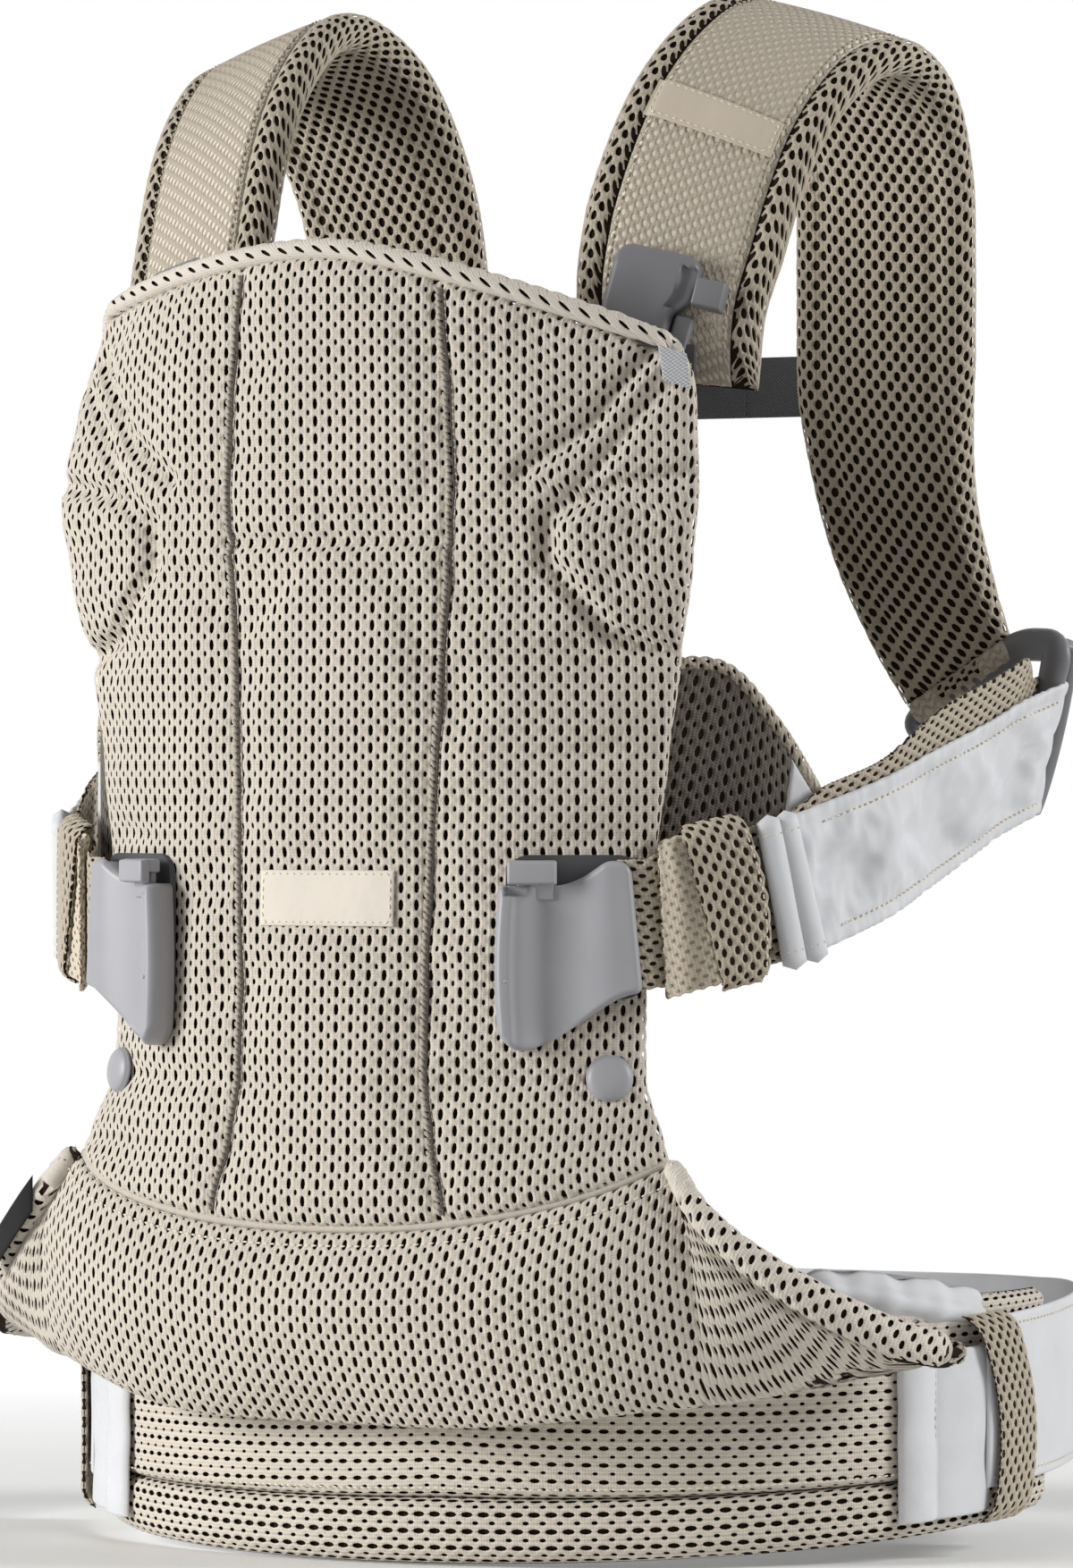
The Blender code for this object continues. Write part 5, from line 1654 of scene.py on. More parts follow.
def build_back_webbing():
    shares = [0.5 + 0.01 * i for i in range(50)]
    share = next(u for u in shares if STRAP_PATH(u).z < WEBBING_LEVEL * MM)
    edge = strap_line(share, [(-STRAP_WIDTH / 2, 0.0)])[0] / MM
    reach = edge.x + 2.0

    def band(u, v):
        bow = 2.5 * (1 - (2 * u - 1) ** 2)
        return place(reach * (1 - 2 * u), edge.y + bow, edge.z + WEBBING_HEIGHT * (v - 0.5))

    def lap(u, v):
        return band(0.5 - (20 + 25 * u) / reach / 2, v) + place(0, -2.0, 0)

    cloth_piece("back_webbing_band", band, 1.8, (2 * reach, WEBBING_HEIGHT), (40, 8), "webbing_woven_dark",
                "carrier", ["back_webbing"], "dark_webbing")
    cloth_piece("back_webbing_lap", lap, 1.5, (25, WEBBING_HEIGHT), (12, 8), "webbing_woven_dark", "carrier",
                ["back_webbing"], "dark_webbing")
    for k, u in enumerate((0.08, 0.92)):
        seam = row_of((u, 0.08), (u, 0.92), 14)
        topstitch(f"back_webbing_stitches_{k}", lap, seam, "carrier", "dark_webbing", "thread_grey", 0.2)


RING_BAR_RADIUS = 3.2
RING_TOP = place(171, 47, 306)
RING_FOOT = place(159, 47, 258)
SWING_PIVOT = (RING_TOP + RING_FOOT) / 2
RING_AXIS = (RING_TOP - RING_FOOT).normalized()


def strap_edge(v):
    """The two edges of the shoulder strap's end, at its middle thickness."""
    middle, across, _ = strap_frame(1.0)
    return middle + across * (v - 0.5) * strap_width(1.0) * MM


def ring_loop():
    """The middle line of a slider ring with rounded corners, closed."""
    along = (STRAP_PATH(1.0) - STRAP_PATH(0.97)).normalized()
    drop = along * (RING_BAR_RADIUS + 1.0) * MM
    reach = (strap_edge(1.0) - strap_edge(0.0)).normalized() * 3 * MM
    corners = [
        strap_edge(0.0) + drop - reach,
        strap_edge(1.0) + drop + reach,
        RING_TOP + RING_AXIS * 12 * MM,
        RING_FOOT - RING_AXIS * 4 * MM,
    ]
    points = []
    for i, corner in enumerate(corners):
        last, following = corners[i - 1], corners[(i + 1) % 4]
        start = corner + (last - corner).normalized() * 7 * MM
        end = corner + (following - corner).normalized() * 7 * MM
        for k in range(9):
            t = k / 8
            points.append(start * (1 - t) ** 2 + corner * 2 * t * (1 - t) + end * t * t)
    return points


def ring_guard(side):
    """The outer leg of the slider, bowed out beyond the strap that runs through it."""
    points = []
    for k in range(31):
        t = k / 30
        along = (RING_TOP + RING_AXIS * 12 * MM).lerp(RING_FOOT - RING_AXIS * 3 * MM, t)
        points.append(mirrored(along + side_run(1.0) * (2.0 + 10.0 * sin(pi * t) ** 0.4) * MM, side))
    return points


def ring_rounds(points):
    """Lines round the slider's bar, which is broader towards its top."""
    count = len(points)
    flat = (points[0] - points[count // 2]).cross(points[count // 4] - points[3 * count // 4]).normalized()
    rounds = []
    for i in range(count + 1):
        run = (points[(i + 1) % count] - points[(i - 1) % count]).normalized()
        inward = flat.cross(run).normalized()
        broad = 3.4 + 2.6 * ramp(points[i % count].z / MM, 298, 312)
        line = []
        for k in range(25):
            turn = 2 * pi * k / 24
            arm = flat * sin(turn) * RING_BAR_RADIUS + inward * cos(turn) * broad
            line.append(points[i % count] + arm * MM)
        rounds.append(line)
    return rounds


def build_ring(side):
    name = side_name("slider_ring", side)
    guard = ring_guard(side)
    radii = round_ends(guard, [RING_BAR_RADIUS] * 31, 3)
    nets = {
        "_moulded": ring_rounds([mirrored(p, side) for p in ring_loop()]),
        "_guard": tube_net(guard, radii, mirrored(side_run(1.0), side), 20, 1.5),
    }
    # The slider ring is the grey plastic in painted shade
    for end, net in nets.items():
        leg = closed_tube(name + end, net, "nylon_moulded_slate")
        finish_piece(leg, "carrier", name, slot="grey_plastic")


def build_strap_loop(side):
    """The end of the shoulder strap, turned round the slider's upper bar."""
    along = mirrored(STRAP_PATH(1.0) - STRAP_PATH(0.97), side).normalized()
    bar = [mirrored(strap_edge(k / 20), side) + along * (RING_BAR_RADIUS + 0.6) * MM for k in range(21)]
    if side < 0:
        bar = bar[::-1]
    radii = round_ends(bar, [5.0] * 21, 1.5)
    mesh_roll(side_name("strap_loop", side), bar, radii, Vector((0, -1, 0)),
              even_holes(5.6, 6.9, 2.3, 3.3, 0.7), "strap_mesh_taupe", "carrier",
              [side_name("shoulder_strap", side)], "taupe_mesh")


# Side straps and what is sewn to them

SIDE_CLIP = (52.0, 71.0, 9.0)
CLIP_SLOT = 46.0
SLOT_RISE = 9.0
GAP = 0.4
SIDE_STRAP_HEIGHT = 49.0
SIDE_SHARE, SIDE_LEVEL = 0.80, 211.0
SIDE_OUT = panel_outward(SIDE_SHARE, SIDE_LEVEL)
SIDE_FRAME = local_frame(panel_point(SIDE_SHARE, SIDE_LEVEL) + SIDE_OUT * 3.2 * MM, SIDE_OUT)


def clip_point(x, y, z):
    return SIDE_FRAME @ (Vector((x, y, z)) * MM)


STRAP_LIFT = SIDE_CLIP[2] / 2 + GAP + BAND_THICKNESS / 2 + 0.3
SIDE_RAIL = rail([
    clip_point(SIDE_CLIP[0] / 2 - 11.0, SLOT_RISE, STRAP_LIFT),
    clip_point(SIDE_CLIP[0] / 2 + 1, SLOT_RISE, STRAP_LIFT),
    place(123, -134, 223),
    place(135, -124, 227),
    place(147, -107, 231),
    place(154, -88, 237),
    place(161, -60, 246),
    place(163, -30, 256),
    place(165, 0, 266),
    place(166, 25, 275),
    SWING_PIVOT,
])
LOOP_RADIUS = RING_BAR_RADIUS + BAND_THICKNESS / 2 + 0.6
STOP_SHARE = 0.322


def side_run(u):
    step = 0.004
    return (SIDE_RAIL(min(u + step, 1.0)) - SIDE_RAIL(max(u - step, 0.0))).normalized()


def side_upward(u):
    """The way of the strap's height: upright at the clip, square to the run, then along the ring's leg."""
    upright = Vector((0, 0, 1)).lerp(RING_AXIS, max(0.0, u - 0.3) / 0.7).normalized()
    run = side_run(u)
    square = ramp(u, 0.03, 0.12) * (1 - ramp(u, 0.45, 0.8))
    return (upright - run * upright.dot(run) * square).normalized()


def side_outward(u):
    return side_run(u).cross(side_upward(u)).normalized()


def layer_offset(u):
    """How far each layer of the side strap lies from the middle line between them."""
    close = BAND_THICKNESS / 2 + 0.3
    opening = max(0.0, (u - 0.86) / 0.14)
    return close + (LOOP_RADIUS - close) * opening * opening * (3 - 2 * opening)


def loop_arm(turn):
    """From the ring's leg to the strap's loop round it."""
    out, up = side_outward(1.0), side_upward(1.0)
    return up.cross(out) * sin(turn) - out * cos(turn)


def loop_rows(turns):
    """Points and heights of a layer round the ring's leg."""
    half = SIDE_STRAP_HEIGHT / 2
    middle, up = SIDE_RAIL(1.0), side_upward(1.0)
    return [(middle + loop_arm(turn) * LOOP_RADIUS * MM, up, -half, half) for turn in turns]


def inner_layer():
    """Points and heights of the mesh layer, from the clip to the ring and half round its leg."""
    rows = []
    for i in range(61):
        u = i / 60
        tall = min(SIDE_STRAP_HEIGHT, CLIP_SLOT - 2.0 + 39.0 * u)
        rise = (5.0 * ramp(u, 0.3, 0.42) + 9.0 * ramp(u, 0.5, 0.72)) * (1 - ramp(u, 0.9, 0.985))
        spot = SIDE_RAIL(u) - side_outward(u) * layer_offset(u) * MM
        rows.append((spot, side_upward(u), -tall / 2, tall / 2 + rise))
    return rows + loop_rows([pi / 8 * i for i in range(1, 5)])


def outer_layer():
    """Points and heights of the grey layer, from the stop to the ring and half round its leg."""
    rows = []
    for i in range(61):
        u = STOP_SHARE - 0.012 + (1.0 - STOP_SHARE + 0.012) * i / 60
        spot = SIDE_RAIL(u) + side_outward(u) * layer_offset(u) * MM
        rows.append((spot, side_upward(u), -SIDE_STRAP_HEIGHT / 2, SIDE_STRAP_HEIGHT / 2))
    return rows + loop_rows([pi - pi / 8 * i for i in range(1, 5)])


def layer_surface(rows):
    """The outer face of a layer that is drawn by its middle line."""
    last = len(rows) - 1
    half = BAND_THICKNESS / 2

    def at(u, v):
        place_along = min(max(u, 0.0), 1.0) * last
        i = min(int(place_along), last - 1)
        t = place_along - i
        point, up, low, high = (a + (b - a) * t for a, b in zip(rows[i], rows[i + 1]))
        run = (rows[i + 1][0] - rows[i][0]).normalized()
        return point + up * (low + (high - low) * v) * MM + run.cross(up).normalized() * half * MM

    return at


def side_span(start, end, height, off, bow=0.0):
    """A surface outside the side strap between two shares of its length; bow widens it between its ends."""

    def at(u, v):
        w = start + (end - start + bow * sin(pi * v)) * u
        return SIDE_RAIL(w) + (side_outward(w) * off + side_upward(w) * (v - 0.5) * height) * MM

    return at


def strap_held(u, v):
    """The grey layer is held where it is sewn: at its ends and along its two hems."""
    return 1.0 if u < 0.02 or u > 0.9 or min(v, 1 - v) < 0.14 else 0.0


@lru_cache(maxsize=None)
def strap_folds():
    """The folds that the slack grey layer falls into between its hems."""
    return settled("strap_cloth", layer_surface(outer_layer()), (96, 27), strap_held, 0.05, 4.0, 3.0)


def gathered(u, v):
    """Wrinkles of the grey layer on the right, with the short gathers of its stitched hems."""
    hem = max(1 - v / 0.14, 1 - (1 - v) / 0.14, 0.0)
    slant = 190 * u - 30 * v
    folds = sin(0.21 * slant + 1.2 * sin(0.05 * slant)) + 0.6 * sin(0.37 * slant - 9 * v + 0.8)
    short = sin(1.1 * 190 * u + 3 * sin(0.2 * 190 * u))
    fallen = max(strap_folds()(u, v), -1.4)
    return fallen + 0.7 * folds * sin(pi * v) ** 0.6 + 0.4 * hem * short - 0.7 * valley(hem - 0.15, 0.2)


def build_strap_layers(side, body):
    """The mesh layer of a side strap and the grey layer outside it, with its two stitched hems."""
    strap = side_name("side_strap", side)
    inner = on_side(layer_surface(inner_layer()), side)
    mesh_band(strap + "_inner", inner, BAND_THICKNESS, (262, 52), (96, 20), even_holes(6.2, 4.7, 2.9, 1.5),
              "strap_mesh_taupe", body, [strap], "taupe_mesh")
    outer = on_side(layer_surface(outer_layer()), side)
    folds = gathered if side > 0 else lambda u, v: gathered(1 - u, v)
    cloth_piece(strap + "_cloth", outer, BAND_THICKNESS, (190, 49), (120, 26), "polyester_cloth_grey", body,
                [strap], "grey_cloth", folds)
    for k, v in enumerate((0.12, 0.88)):
        topstitch(f"{strap}_stitches_{k}", outer, row_of((0.09, v), (0.91, v), 80), body, "grey_cloth",
                  lift=0.3, size=(2.2, 0.95, 0.8))


def build_side_straps():
    for side in (1, -1):
        body = hand_body(side, "side_strap")
        build_strap_layers(side, body)
        fold = on_side(side_span(0.066, 0.152, 54, 3.0), side)
        name = side_name("strap_fold", side)
        mesh_band(name, fold, 2.6, (23, 54), (14, 24), even_holes(4.6, 5.0, 2.0, 1.3, 0.4), "fold_mesh_pale",
                  body, [name], "grey_cloth", core="strap_core_taupe")
        keeper = on_side(closed_loop(side_span(0.138, 0.22, 61, 5.6, 0.02), 7.0), side)
        name = side_name("side_keeper", side)
        mesh_band(name, keeper, 2.4, (24, 66), (14, 34), even_holes(5.0, 6.6, 2.0, 3.2), "strap_mesh_taupe",
                  body, [name], "cream_mesh")
        far = 0.9 if side > 0 else 0.1
        hem = row_of((far, 0.12), (far, 0.88), 40)
        topstitch(name + "_stitches", keeper, hem, body, "cream_mesh", lift=0.2)
        build_stop(side, body)


def build_stop(side, body):
    """The double-rolled end of the strap: two stuffed rolls of grey cloth, stitched down at both ends."""
    name = side_name("strap_stop", side)
    span = side_span(0.246, 0.316, 55, 3.9)
    for k, u in enumerate((0.25, 0.75)):
        points = [mirrored(span(u, j / 24), side) for j in range(25)]
        outward = mirrored(facing(span, u, 0.5), side)
        radii = round_ends(points, [3.5 + 0.12 * ripple(40 * k, 60 * j / 24, k) for j in range(25)], 1.3)
        net = tube_net(points, radii, outward, 28, 1.28)
        roll = closed_tube(f"{name}_roll_{k}", net, "polyester_cloth_grey")
        finish_piece(roll, body, name, slot="grey_cloth", fill=0.8)
        for j, column in enumerate((3, 21)):
            ring = [net[i][column] for i in range(-8, 9)]
            ways = [(p - points[column]).normalized() for p in ring]
            row = stitch_line(f"{name}_stitches_{k}_{j}", ring, ways, "thread_cream", None, (1.9, 0.7, 0.6))
            finish_piece(row, body, slot="grey_cloth")


WING_LOW = rail([
    behind_panel(0.82, 240, 2.4), place(122, -112, 236), place(138, -100, 234), place(149, -84, 236),
])
WING_HIGH = rail([
    behind_panel(0.82, 306, 2.4), place(124, -111, 309), place(139, -99, 290), place(149, -82, 262),
])
WING_OUT = Vector((0.35, -0.94, 0))


def wing_surface(u, v):
    point = WING_LOW(u).lerp(WING_HIGH(u), v)
    return point + WING_OUT * 1.7 * MM


def wing_hem(u, v):
    """The doubled end of a wing beside the side strap."""
    return wing_surface(0.80 + 0.2 * u, 0.02 + 0.96 * v) + WING_OUT * 1.2 * MM


def build_wings():
    for side in (1, -1):
        name = side_name("side_wing", side)
        wing = on_side(wing_surface, side)
        # The wing's mesh is painted in deep shade
        mesh_band(name, wing, 3.2, (75, 62), (40, 32), hole_sizes(), "lining_mesh_brown", "carrier", [name],
                  "beige_mesh")
        edge = [mirrored(wing_surface(k / 40, 1.0) - WING_OUT * 1.7 * MM, side) for k in range(41)]
        if side < 0:
            edge = edge[::-1]
        mesh_roll(name + "_binding", edge, round_ends(edge, [2.6] * 41, 2), Vector((0, 0, -1)),
                  even_holes(5.0, 5.4, 1.6, 2.4, 0.5), "strap_mesh_taupe", "carrier", [name], "beige_mesh")
        cloth_piece(name + "_hem", on_side(wing_hem, side), 5.6, (16, 30), (12, 16), "polyester_cloth_grey",
                    "carrier", [name], "grey_cloth")


# Clips, buttons and snaps

PLATE_EDGE = 2.2


def moulded_plate(name, frame_at, side, size, shape, counts, title):
    """A moulded plate: low and high give its outline, lean its slope sideways, top and under its faces."""
    low, high, top, under, lean = shape
    width, height, thick = size

    def pair(p, q):
        x = width * (p - 0.5)
        tall = high(x) - low(x)
        y = low(x) + tall * q
        full = rolled(min(p, 1 - p) * width, PLATE_EDGE) * rolled(min(q, 1 - q) * tall, PLATE_EDGE)
        base = under(x, y)
        shoulder = max(base, thick * 0.55)
        face = shoulder + (top(x, y) - shoulder) * full
        return [frame_at @ (Vector((x + lean(x, y), y, z)) * MM) for z in (face, base)]

    across, upward = edge_stops(width, PLATE_EDGE, counts[0]), edge_stops(height, PLATE_EDGE, counts[1])
    outer, inner = two_nets(across, upward, pair)
    return closed_pad(name, for_side(outer, side), for_side(inner, side), title)


def corner_curve(x, half, radius):
    """How far an edge draws in at the rounded corners of a plate."""
    into = max(abs(x) - (half - radius), 0.0)
    return radius - sqrt(max(radius**2 - into**2, 0.0))


def within(value, low, high, soft):
    return ramp(value, low - soft, low) * (1 - ramp(value, high, high + soft))


def side_clip_low(x):
    corners = corner_curve(min(x, 0.0), 26, 9), corner_curve(max(x, 0.0), 26, 3)
    return -35.3 + 20.0 * ramp(x, -20, 26) + corners[0] + corners[1]


def side_clip_high(x):
    corners = corner_curve(min(x, 0.0), 26, 3), corner_curve(max(x, 0.0), 26, 5)
    return 22.0 + 8.5 * ramp(x, -6, 18) - corners[0] - corners[1]


def side_clip_lean(x, y):
    """The side by the strap slopes back towards its top, and the rim bows out."""
    bow = 1.2 * (1 - ramp(x, -26, -10)) * sin(pi * min(max((y + 30) / 48, 0), 1))
    return -(1.8 + 0.09 * (y + 15)) * ramp(x, 2, 26) - bow


def side_clip_top(x, y):
    """A raised rim at the inner side, a wide scoop for the finger and a step that the button slides over."""
    rim = 1.5 * (1 - ramp(x, -21.6, -19.0))
    bowl = ramp(x, -20.0, -9.0) * (1 - ramp(x, -9.0, 17.0))
    face = 9.0 + rim - 5.0 * bowl
    step = within(x, -23.4, -4.6, 0.4) * ramp(y, 18.4, 18.8)
    return face + (min(face, 7.2) - face) * step


def side_clip_under(x, y):
    pocket = 3.0 * within(x, -17, 11, 0.2) * within(y, -13, 12, 0.2)
    mouth = 6.1 * ramp(x, 12.4, 13.0) * within(y, -14.5, 32.5, 0.4)
    ledge = 5.6 * within(x, -22.5, -3.5, 0.3) * ramp(y, 12.6, 13.0)
    return GAP + max(pocket, mouth, min(ledge, side_clip_top(x, y) - 1.6))


def block(name, size, centre, frame_at, side, bevel, title):
    """A small moulded block with rounded edges, for a button."""
    shape = bmesh.new()
    bmesh.ops.create_cube(shape, size=1.0)
    bmesh.ops.scale(shape, vec=Vector(size) * MM, verts=shape.verts)
    for vert in shape.verts:
        if vert.co.z > 0:
            vert.co.x *= 0.94
            vert.co.y *= 0.86
    bmesh.ops.bevel(shape, geom=shape.edges[:], offset=bevel * MM, segments=4, profile=0.5, affect="EDGES")
    bmesh.ops.translate(shape, vec=Vector(centre) * MM, verts=shape.verts)
    for vert in shape.verts:
        vert.co = mirrored(frame_at @ vert.co, side)
    bmesh.ops.recalc_face_normals(shape, faces=shape.faces)
    mesh = bpy.data.meshes.new(name)
    shape.to_mesh(mesh)
    shape.free()
    mesh.polygons.foreach_set("use_smooth", [True] * len(mesh.polygons))
    return add_piece(name, mesh, title)


SHOULDER_TILT = SHOULDER_FRAME @ Matrix.Rotation(radians(-13), 4, "Z")
SHOULDER_PLATE = (31.0, 40.0, 8.0)
PLATE_SHIFT = Matrix.Translation(place(-6.5, 0, 0))


def shoulder_clip_low(x):
    return -19.8 + corner_curve(x, 15.5, 5)


def shoulder_clip_high(x):
    return 19.8 - corner_curve(x, 15.5, 6)


def shoulder_clip_lean(x, y):
    """Below the button the plate's side draws in."""
    return -5.5 * ramp(x, 0, 15.5) * (1 - ramp(y, -3, 6))


def shoulder_clip_top(x, y):
    crown = 0.9 * (1 - (x / 15.5) ** 2)
    hollow = 1.2 * valley(y - 2, 12) * valley(x, 9)
    face = 8.0 + crown - 1.8 * ramp(y, 12, 19) - hollow - 1.2 * (1 - ramp(y, -16, -10))
    step = within(y, 0.4, 15.2, 0.4) * ramp(x, 9.2, 9.6)
    return face + (min(face, 5.7) - face) * step


def shoulder_clip_under(x, y):
    slot = 4.7 * within(x, -12.5, 9, 0.3) * (1 - ramp(y, -12, -11.6))
    return GAP + max(slot, 3.6 * ramp(x, 9.6, 10.0) * within(y, 3, 13, 0.3))


def hand_body(side, name):
    """The name of a body on one side."""
    return ("right_" if side > 0 else "left_") + name


SIDE_SHAPE = (side_clip_low, side_clip_high, side_clip_top, side_clip_under, side_clip_lean)
SHOULDER_SHAPE = (
    shoulder_clip_low, shoulder_clip_high, shoulder_clip_top, shoulder_clip_under, shoulder_clip_lean,
)
# Sizes and middles of a button's parts, in millimetres: what the finger meets, what is behind it, its stem
SIDE_BUTTON = (
    ("_moulded", (17.4, 8.6, 3.6), (-14.0, 26.4, 9.5)),
    ("_back", (17.0, 5.0, 4.8), (-14.0, 28.2, 5.7)),
    ("_stem", (13.0, 10.0, 2.0), (-13.0, 21.5, 4.4)),
)
SHOULDER_BUTTON = (
    ("_moulded", (11.2, 11.0, 4.1), (15.0, 7.4, 8.2)),
    ("_back", (6.4, 10.6, 4.2), (17.3, 7.4, 4.7)),
    ("_stem", (7.4, 6.0, 2.0), (11.4, 8.0, 2.6)),
)


def build_button(name, parts, frame_at, side, body, title):
    for end, size, centre in parts:
        tab = block(name + end, size, centre, frame_at, side, min(size) * 0.2, title)
        finish_piece(tab, body, name, slot="grey_plastic")


def build_clips():
    # The shoulder clips take the grey plastic in painted shade
    grey, grey_in_painted_shade = "nylon_moulded_grey", "nylon_moulded_slate"
    for side in (1, -1):
        name = side_name("side_clip", side)
        body = hand_body(side, "side_strap")
        clip = moulded_plate(name + "_moulded", SIDE_FRAME, side, SIDE_CLIP, SIDE_SHAPE, (58, 72), grey)
        finish_piece(clip, body, name, slot="grey_plastic")
        pin = block(name + "_pin", (1.4, 1.4, 1.2), (-23.0, -11.0, 10.4), SIDE_FRAME, side, 0.4, grey)
        finish_piece(pin, body, name, slot="grey_plastic")
        press = hand_body(side, "side_press")
        build_button(side_name("side_button", side), SIDE_BUTTON, SIDE_FRAME, side, press, grey)
        name = side_name("shoulder_clip", side)
        tilted = SHOULDER_TILT @ PLATE_SHIFT
        clip = moulded_plate(name + "_moulded", tilted, side, SHOULDER_PLATE, SHOULDER_SHAPE, (44, 46), grey_in_painted_shade)
        finish_piece(clip, "carrier", name, slot="grey_plastic")
        tongue = block(name + "_tongue", (7.0, 19.0, 4.4), (7.6, -9.6, 3.0), SHOULDER_TILT, side, 1.0, grey_in_painted_shade)
        finish_piece(tongue, "carrier", name, slot="grey_plastic")
        press = hand_body(side, "shoulder_press")
        build_button(side_name("shoulder_button", side), SHOULDER_BUTTON, SHOULDER_TILT, side, press, grey_in_painted_shade)


SNAP_SHARE, SNAP_HEIGHT, SNAP_RADIUS = 0.90, 166.0, 8.2


def snap_profile():
    """Radius and height down the snap's cap, from the middle of its dome to the middle of its hollow."""
    r = SNAP_RADIUS
    dome = [(r * 0.93 * sin(pi / 2 * k / 10), 2.5 + 2.4 * cos(pi / 2 * k / 10)) for k in range(11)]
    edge = [(r * 0.985, 2.2), (r, 1.8), (r * 0.985, 1.4), (r * 0.93, 1.1)]
    return dome + edge + [(4.2, 1.1), (4.2, 2.4), (0.0, 2.4)]


def build_snaps():
    out = panel_outward(SNAP_SHARE, SNAP_HEIGHT, False)
    at = local_frame(panel_point(SNAP_SHARE, SNAP_HEIGHT) + out * 0.7 * MM, out)
    for side in (1, -1):
        net = []
        for radius, height in snap_profile():
            line = []
            for k in range(49):
                turn = 2 * pi * k / 48
                spot = place(radius * cos(turn), radius * sin(turn), height)
                line.append(mirrored(at @ spot, side))
            net.append(line)
        name = side_name("snap_cap", side)
        cap = closed_tube(name + "_moulded", net, "nylon_moulded_grey")
        finish_piece(cap, hand_body(side, "snap"), name, slot="grey_plastic")


def paint_solids():
    """The plastic solids that stay as they are get the material of their real finish."""
    finishes = {
        "nylon_moulded_grey": ("waist_socket", "waist_plug"),
        "nylon_moulded_dark": (
            "waist_button", "side_base_left", "side_base_right", "shoulder_base_left", "shoulder_base_right",
            "snap_stud_left", "snap_stud_right",
        ),
    }
    for title, names in finishes.items():
        for name in names:
            for slot in NODES[name].material_slots:
                slot.material = material(title)


# Labels and tags, all left bare

def border(margin_u, margin_v, corner, count=12):
    """Shares round a rectangle with cut corners, closed."""
    low_u, high_u, low_v, high_v = margin_u, 1 - margin_u, margin_v, 1 - margin_v
    ratio = margin_v / margin_u
    cu, cv = corner, corner * ratio
    corners = [
        (low_u + cu, low_v), (high_u - cu, low_v), (high_u, low_v + cv), (high_u, high_v - cv),
        (high_u - cu, high_v), (low_u + cu, high_v), (low_u, high_v - cv), (low_u, low_v + cv),
    ]
    spots = []
    for a, b in zip(corners, corners[1:] + corners[:1]):
        spots += row_of(a, b, count)[:-1]
    return spots + spots[:1]


def chest_label(u, v):
    height = 218.5 + 19.5 * v
    share = 27.5 * (2 * u - 1) / panel_row(height)[0]
    return panel_point(share, height) + place(0, -1.9, 0)


def strap_label(u, v):
    along, across = 0.205 + 0.034 * v, 0.14 + 0.68 * u
    return strap_outer(across, along) + strap_frame(along)[2] * 1.0 * MM


def side_tag(u, v):
    t = 0.12 + 0.24 * v
    out = seat_outward(SEAT_SEAM_SHARE + (1 - SEAT_SEAM_SHARE) * t)
    return LEG_EDGE(t) + (out * (leg_radius(t) + 2.0) + Vector((0, 0, 13 * (u - 0.5)))) * MM


def corner_tag(u, v):
    share = 0.923 + 0.064 * u
    height = head_top(share) - 7 + 12.5 * v
    return panel_point(share, height) + panel_outward(share, height) * 3.3 * MM


def build_labels():
    cloth_piece("chest_label_woven", chest_label, 1.2, (55, 19.5), (40, 14), "label_woven_cream", "carrier",
                ["chest_label"], "cream_label")
    topstitch("chest_label_stitches", chest_label, border(0.025, 0.07, 0.02), "carrier", "cream_label",
              lift=0.1, size=(1.8, 0.6, 0.5))
    cloth_piece("strap_label_woven", strap_label, 1.0, (50, 19), (30, 12), "label_woven_taupe", "carrier",
                ["strap_label"], "taupe_mesh")
    topstitch("strap_label_stitches", strap_label, border(0.035, 0.09, 0.03), "carrier", "taupe_mesh",
              lift=0.1, size=(1.8, 0.6, 0.5))
    cloth_piece("side_tag_woven", on_side(side_tag, -1), 1.2, (13, 25), (10, 18), "tape_woven_black",
                "carrier", ["side_tag"], "black_tape")
    cloth_piece("corner_tag_woven", corner_tag, 1.0, (10, 14), (8, 10), "tag_woven_grey", "head",
                ["corner_tag"], "cream_label")


# Stage

def floor_material():
    """Painted studio floor: pale and matt, fading out into the white backdrop away from the carrier."""
    made, tree, shader = shader_for("studio_floor_pale", from_hex("F4F4F2"), 0.95)
    spot = add(tree, "ShaderNodeTexCoord", take="Object")
    level = add(tree, VECTOR, (spot, (1, 1, 0)), 0, operation="MULTIPLY")
    away = add(tree, VECTOR, (level,), "Value", operation="LENGTH")
    fade = add(tree, "ShaderNodeMapRange", {"Value": away, "From Min": 0.25, "From Max": 0.9}, 0)
    clear = add(tree, "ShaderNodeBsdfTransparent", take=0)
    mixed = add(tree, "ShaderNodeMixShader", (fade, shader.outputs[0], clear), 0)
    tree.links.new(mixed, tree.nodes["Material Output"].inputs["Surface"])
    return made


def light(name, spot, aim, size, power):
    lamp = bpy.data.lights.new(name, "AREA")
    lamp.shape = "RECTANGLE"
    lamp.size, lamp.size_y = size
    lamp.energy = power
    item = bpy.data.objects.new(name, lamp)
    item.location = spot
    item.rotation_euler = (Vector(aim) - Vector(spot)).to_track_quat("-Z", "Y").to_euler()
    bpy.context.scene.collection.objects.link(item)


CAMERA_TURN = 31.0
CAMERA_REACH = 3.6
CAMERA_AIM = Vector((0, -0.027, 0.268))
PIXELS_PER_METRE = 3100.0
PICTURE_HEIGHT = 1754.0
SENSOR_HEIGHT = 36.0


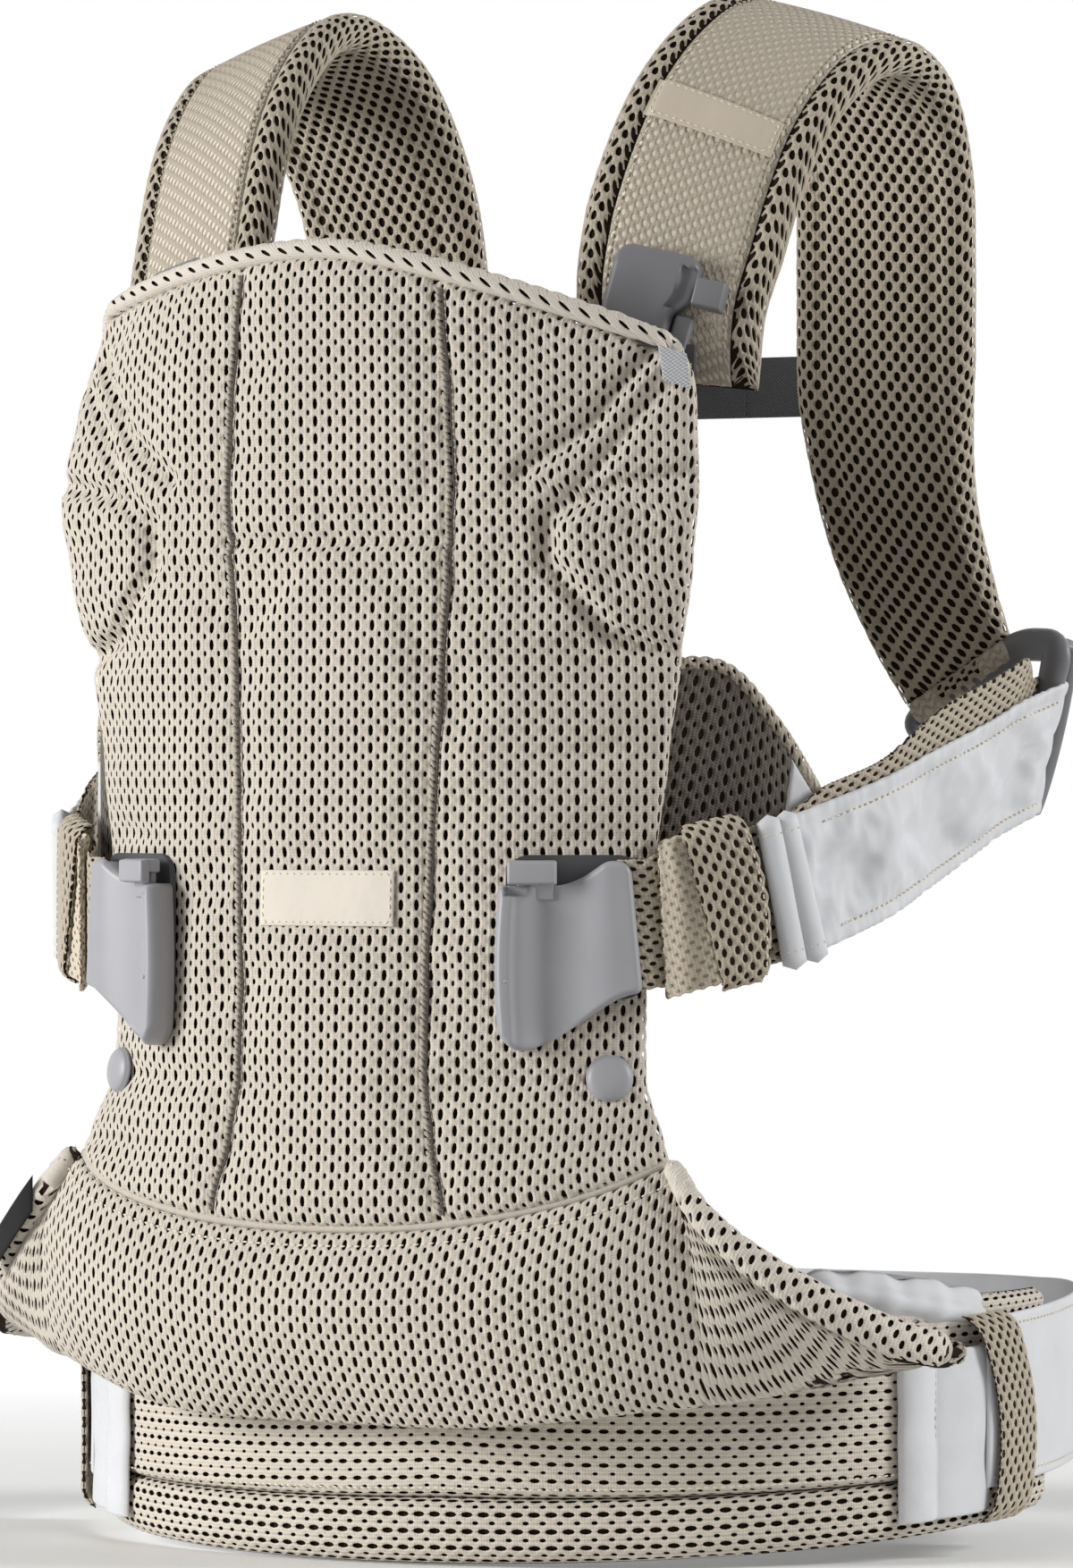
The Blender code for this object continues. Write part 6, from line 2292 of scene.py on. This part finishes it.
def build_world():
    """White where the camera or a shiny face meets it, dimmer where it lights the cloth."""
    world = bpy.data.worlds.new("studio")
    world.use_nodes = True
    bpy.context.scene.world = world
    tree = world.node_tree
    seen = add(tree, "ShaderNodeLightPath").outputs
    shiny = add(tree, MATH, (seen["Is Glossy Ray"], seen["Is Transmission Ray"]), 0, operation="MAXIMUM")
    bright = add(tree, MATH, (seen["Is Camera Ray"], shiny), 0, operation="MAXIMUM")
    strength = add(tree, "ShaderNodeMapRange", {"Value": bright, "To Min": 0.26, "To Max": 1.0}, 0)
    backdrop = tree.nodes["Background"].inputs
    tree.links.new(strength, backdrop["Strength"])
    backdrop["Color"].default_value = (1, 1, 1, 1)


def build_floor():
    mesh = bpy.data.meshes.new("floor")
    low = CAD_BOX[0].z - 0.0005
    mesh.from_pydata([(-1, -1, low), (1, -1, low), (1, 1, low), (-1, 1, low)], [], [(0, 1, 2, 3)])
    floor = add_piece("floor", mesh)
    mesh.materials.append(floor_material())


def build_camera():
    scene = bpy.context.scene
    turn = radians(CAMERA_TURN)
    camera = bpy.data.objects.new("camera", bpy.data.cameras.new("camera"))
    camera.location = CAMERA_AIM + Vector((sin(turn), -cos(turn), 0)) * CAMERA_REACH
    camera.rotation_euler = (pi / 2, 0, turn)
    camera.data.sensor_fit = "VERTICAL"
    camera.data.sensor_height = SENSOR_HEIGHT
    camera.data.lens = SENSOR_HEIGHT * PIXELS_PER_METRE * CAMERA_REACH / PICTURE_HEIGHT
    camera.data.clip_end = 50.0
    scene.collection.objects.link(camera)
    scene.camera = camera


def build_stage():
    bpy.context.scene.view_settings.view_transform = "Standard"
    build_world()
    build_floor()
    light("key", (-1.45, -1.75, 0.7), (0, -0.05, 0.25), (0.8, 1.0), 52)
    light("side", (2.2, 0.6, 1.15), (0, 0, 0.25), (0.8, 0.8), 38)
    light("back", (0.8, 1.8, 1.5), (0, 0, 0.3), (1.0, 1.0), 4)
    build_camera()


# Operators

class BuildStage(bpy.types.Operator):
    """Makes the floor, lamps, world and camera."""

    bl_idname = "carrier.stage"
    bl_label = "Stage"

    def execute(self, context):
        build_stage()
        return {"FINISHED"}


class BuildPanel(bpy.types.Operator):
    """Makes the front panel, head support, gussets and head roll."""

    bl_idname = "carrier.panel"
    bl_label = "Panel and head support"

    def execute(self, context):
        build_panel_pad()
        build_head_roll()
        return {"FINISHED"}


class BuildSeat(bpy.types.Operator):
    """Makes the seat pouch and the rolls of the leg openings."""

    bl_idname = "carrier.seat"
    bl_label = "Seat and leg rolls"

    def execute(self, context):
        build_seat()
        build_leg_rolls()
        return {"FINISHED"}


class BuildBelt(bpy.types.Operator):
    """Makes the waist pad with its lining, sleeves, straps and keepers."""

    bl_idname = "carrier.belt"
    bl_label = "Waist belt"

    def execute(self, context):
        build_waist_pad()
        build_waist_sides()
        return {"FINISHED"}


class BuildShoulderStraps(bpy.types.Operator):
    """Makes the shoulder straps, the webbing between them and their slider rings."""

    bl_idname = "carrier.shoulder_straps"
    bl_label = "Shoulder straps"

    def execute(self, context):
        build_shoulder_straps()
        build_back_webbing()
        return {"FINISHED"}


class BuildSideStraps(bpy.types.Operator):
    """Makes the side straps, what is sewn to them and the side wings."""

    bl_idname = "carrier.side_straps"
    bl_label = "Side straps and wings"

    def execute(self, context):
        build_side_straps()
        build_wings()
        return {"FINISHED"}


class BuildPlastic(bpy.types.Operator):
    """Makes the clips, buttons and snaps, and paints the solids that stay."""

    bl_idname = "carrier.plastic"
    bl_label = "Clips and snaps"

    def execute(self, context):
        build_clips()
        build_snaps()
        paint_solids()
        return {"FINISHED"}


class BuildLabels(bpy.types.Operator):
    """Makes the bare labels and tags."""

    bl_idname = "carrier.labels"
    bl_label = "Labels and tags"

    def execute(self, context):
        build_labels()
        return {"FINISHED"}


OPERATORS = (
    BuildStage,
    BuildPanel,
    BuildSeat,
    BuildBelt,
    BuildShoulderStraps,
    BuildSideStraps,
    BuildPlastic,
    BuildLabels,
)


class CarrierPanel(bpy.types.Panel):
    """Lists the steps and the sizes in the sidebar."""

    bl_idname = "VIEW3D_PT_carrier"
    bl_label = "Soft baby carrier"
    bl_space_type = "VIEW_3D"
    bl_region_type = "UI"
    bl_category = "Carrier"

    def draw(self, context):
        for group in (context.scene.carrier_sizes, context.scene.carrier_colours):
            for name in group.bl_rna.properties.keys():
                if name not in ("rna_type", "name"):
                    self.layout.prop(group, name)
        for step in OPERATORS:
            self.layout.operator(step.bl_idname)


CLASSES = (CarrierSizes, CarrierColours, *OPERATORS, CarrierPanel)


def register():
    for kind in CLASSES:
        bpy.utils.register_class(kind)
    bpy.types.Scene.carrier_sizes = bpy.props.PointerProperty(type=CarrierSizes)
    bpy.types.Scene.carrier_colours = bpy.props.PointerProperty(type=CarrierColours)


def unregister():
    del bpy.types.Scene.carrier_sizes
    del bpy.types.Scene.carrier_colours
    for kind in reversed(CLASSES):
        bpy.utils.unregister_class(kind)


def main():
    register()
    for step in OPERATORS:
        family, name = step.bl_idname.split(".")
        getattr(getattr(bpy.ops, family), name)()


if __name__ == "__main__":
    main()
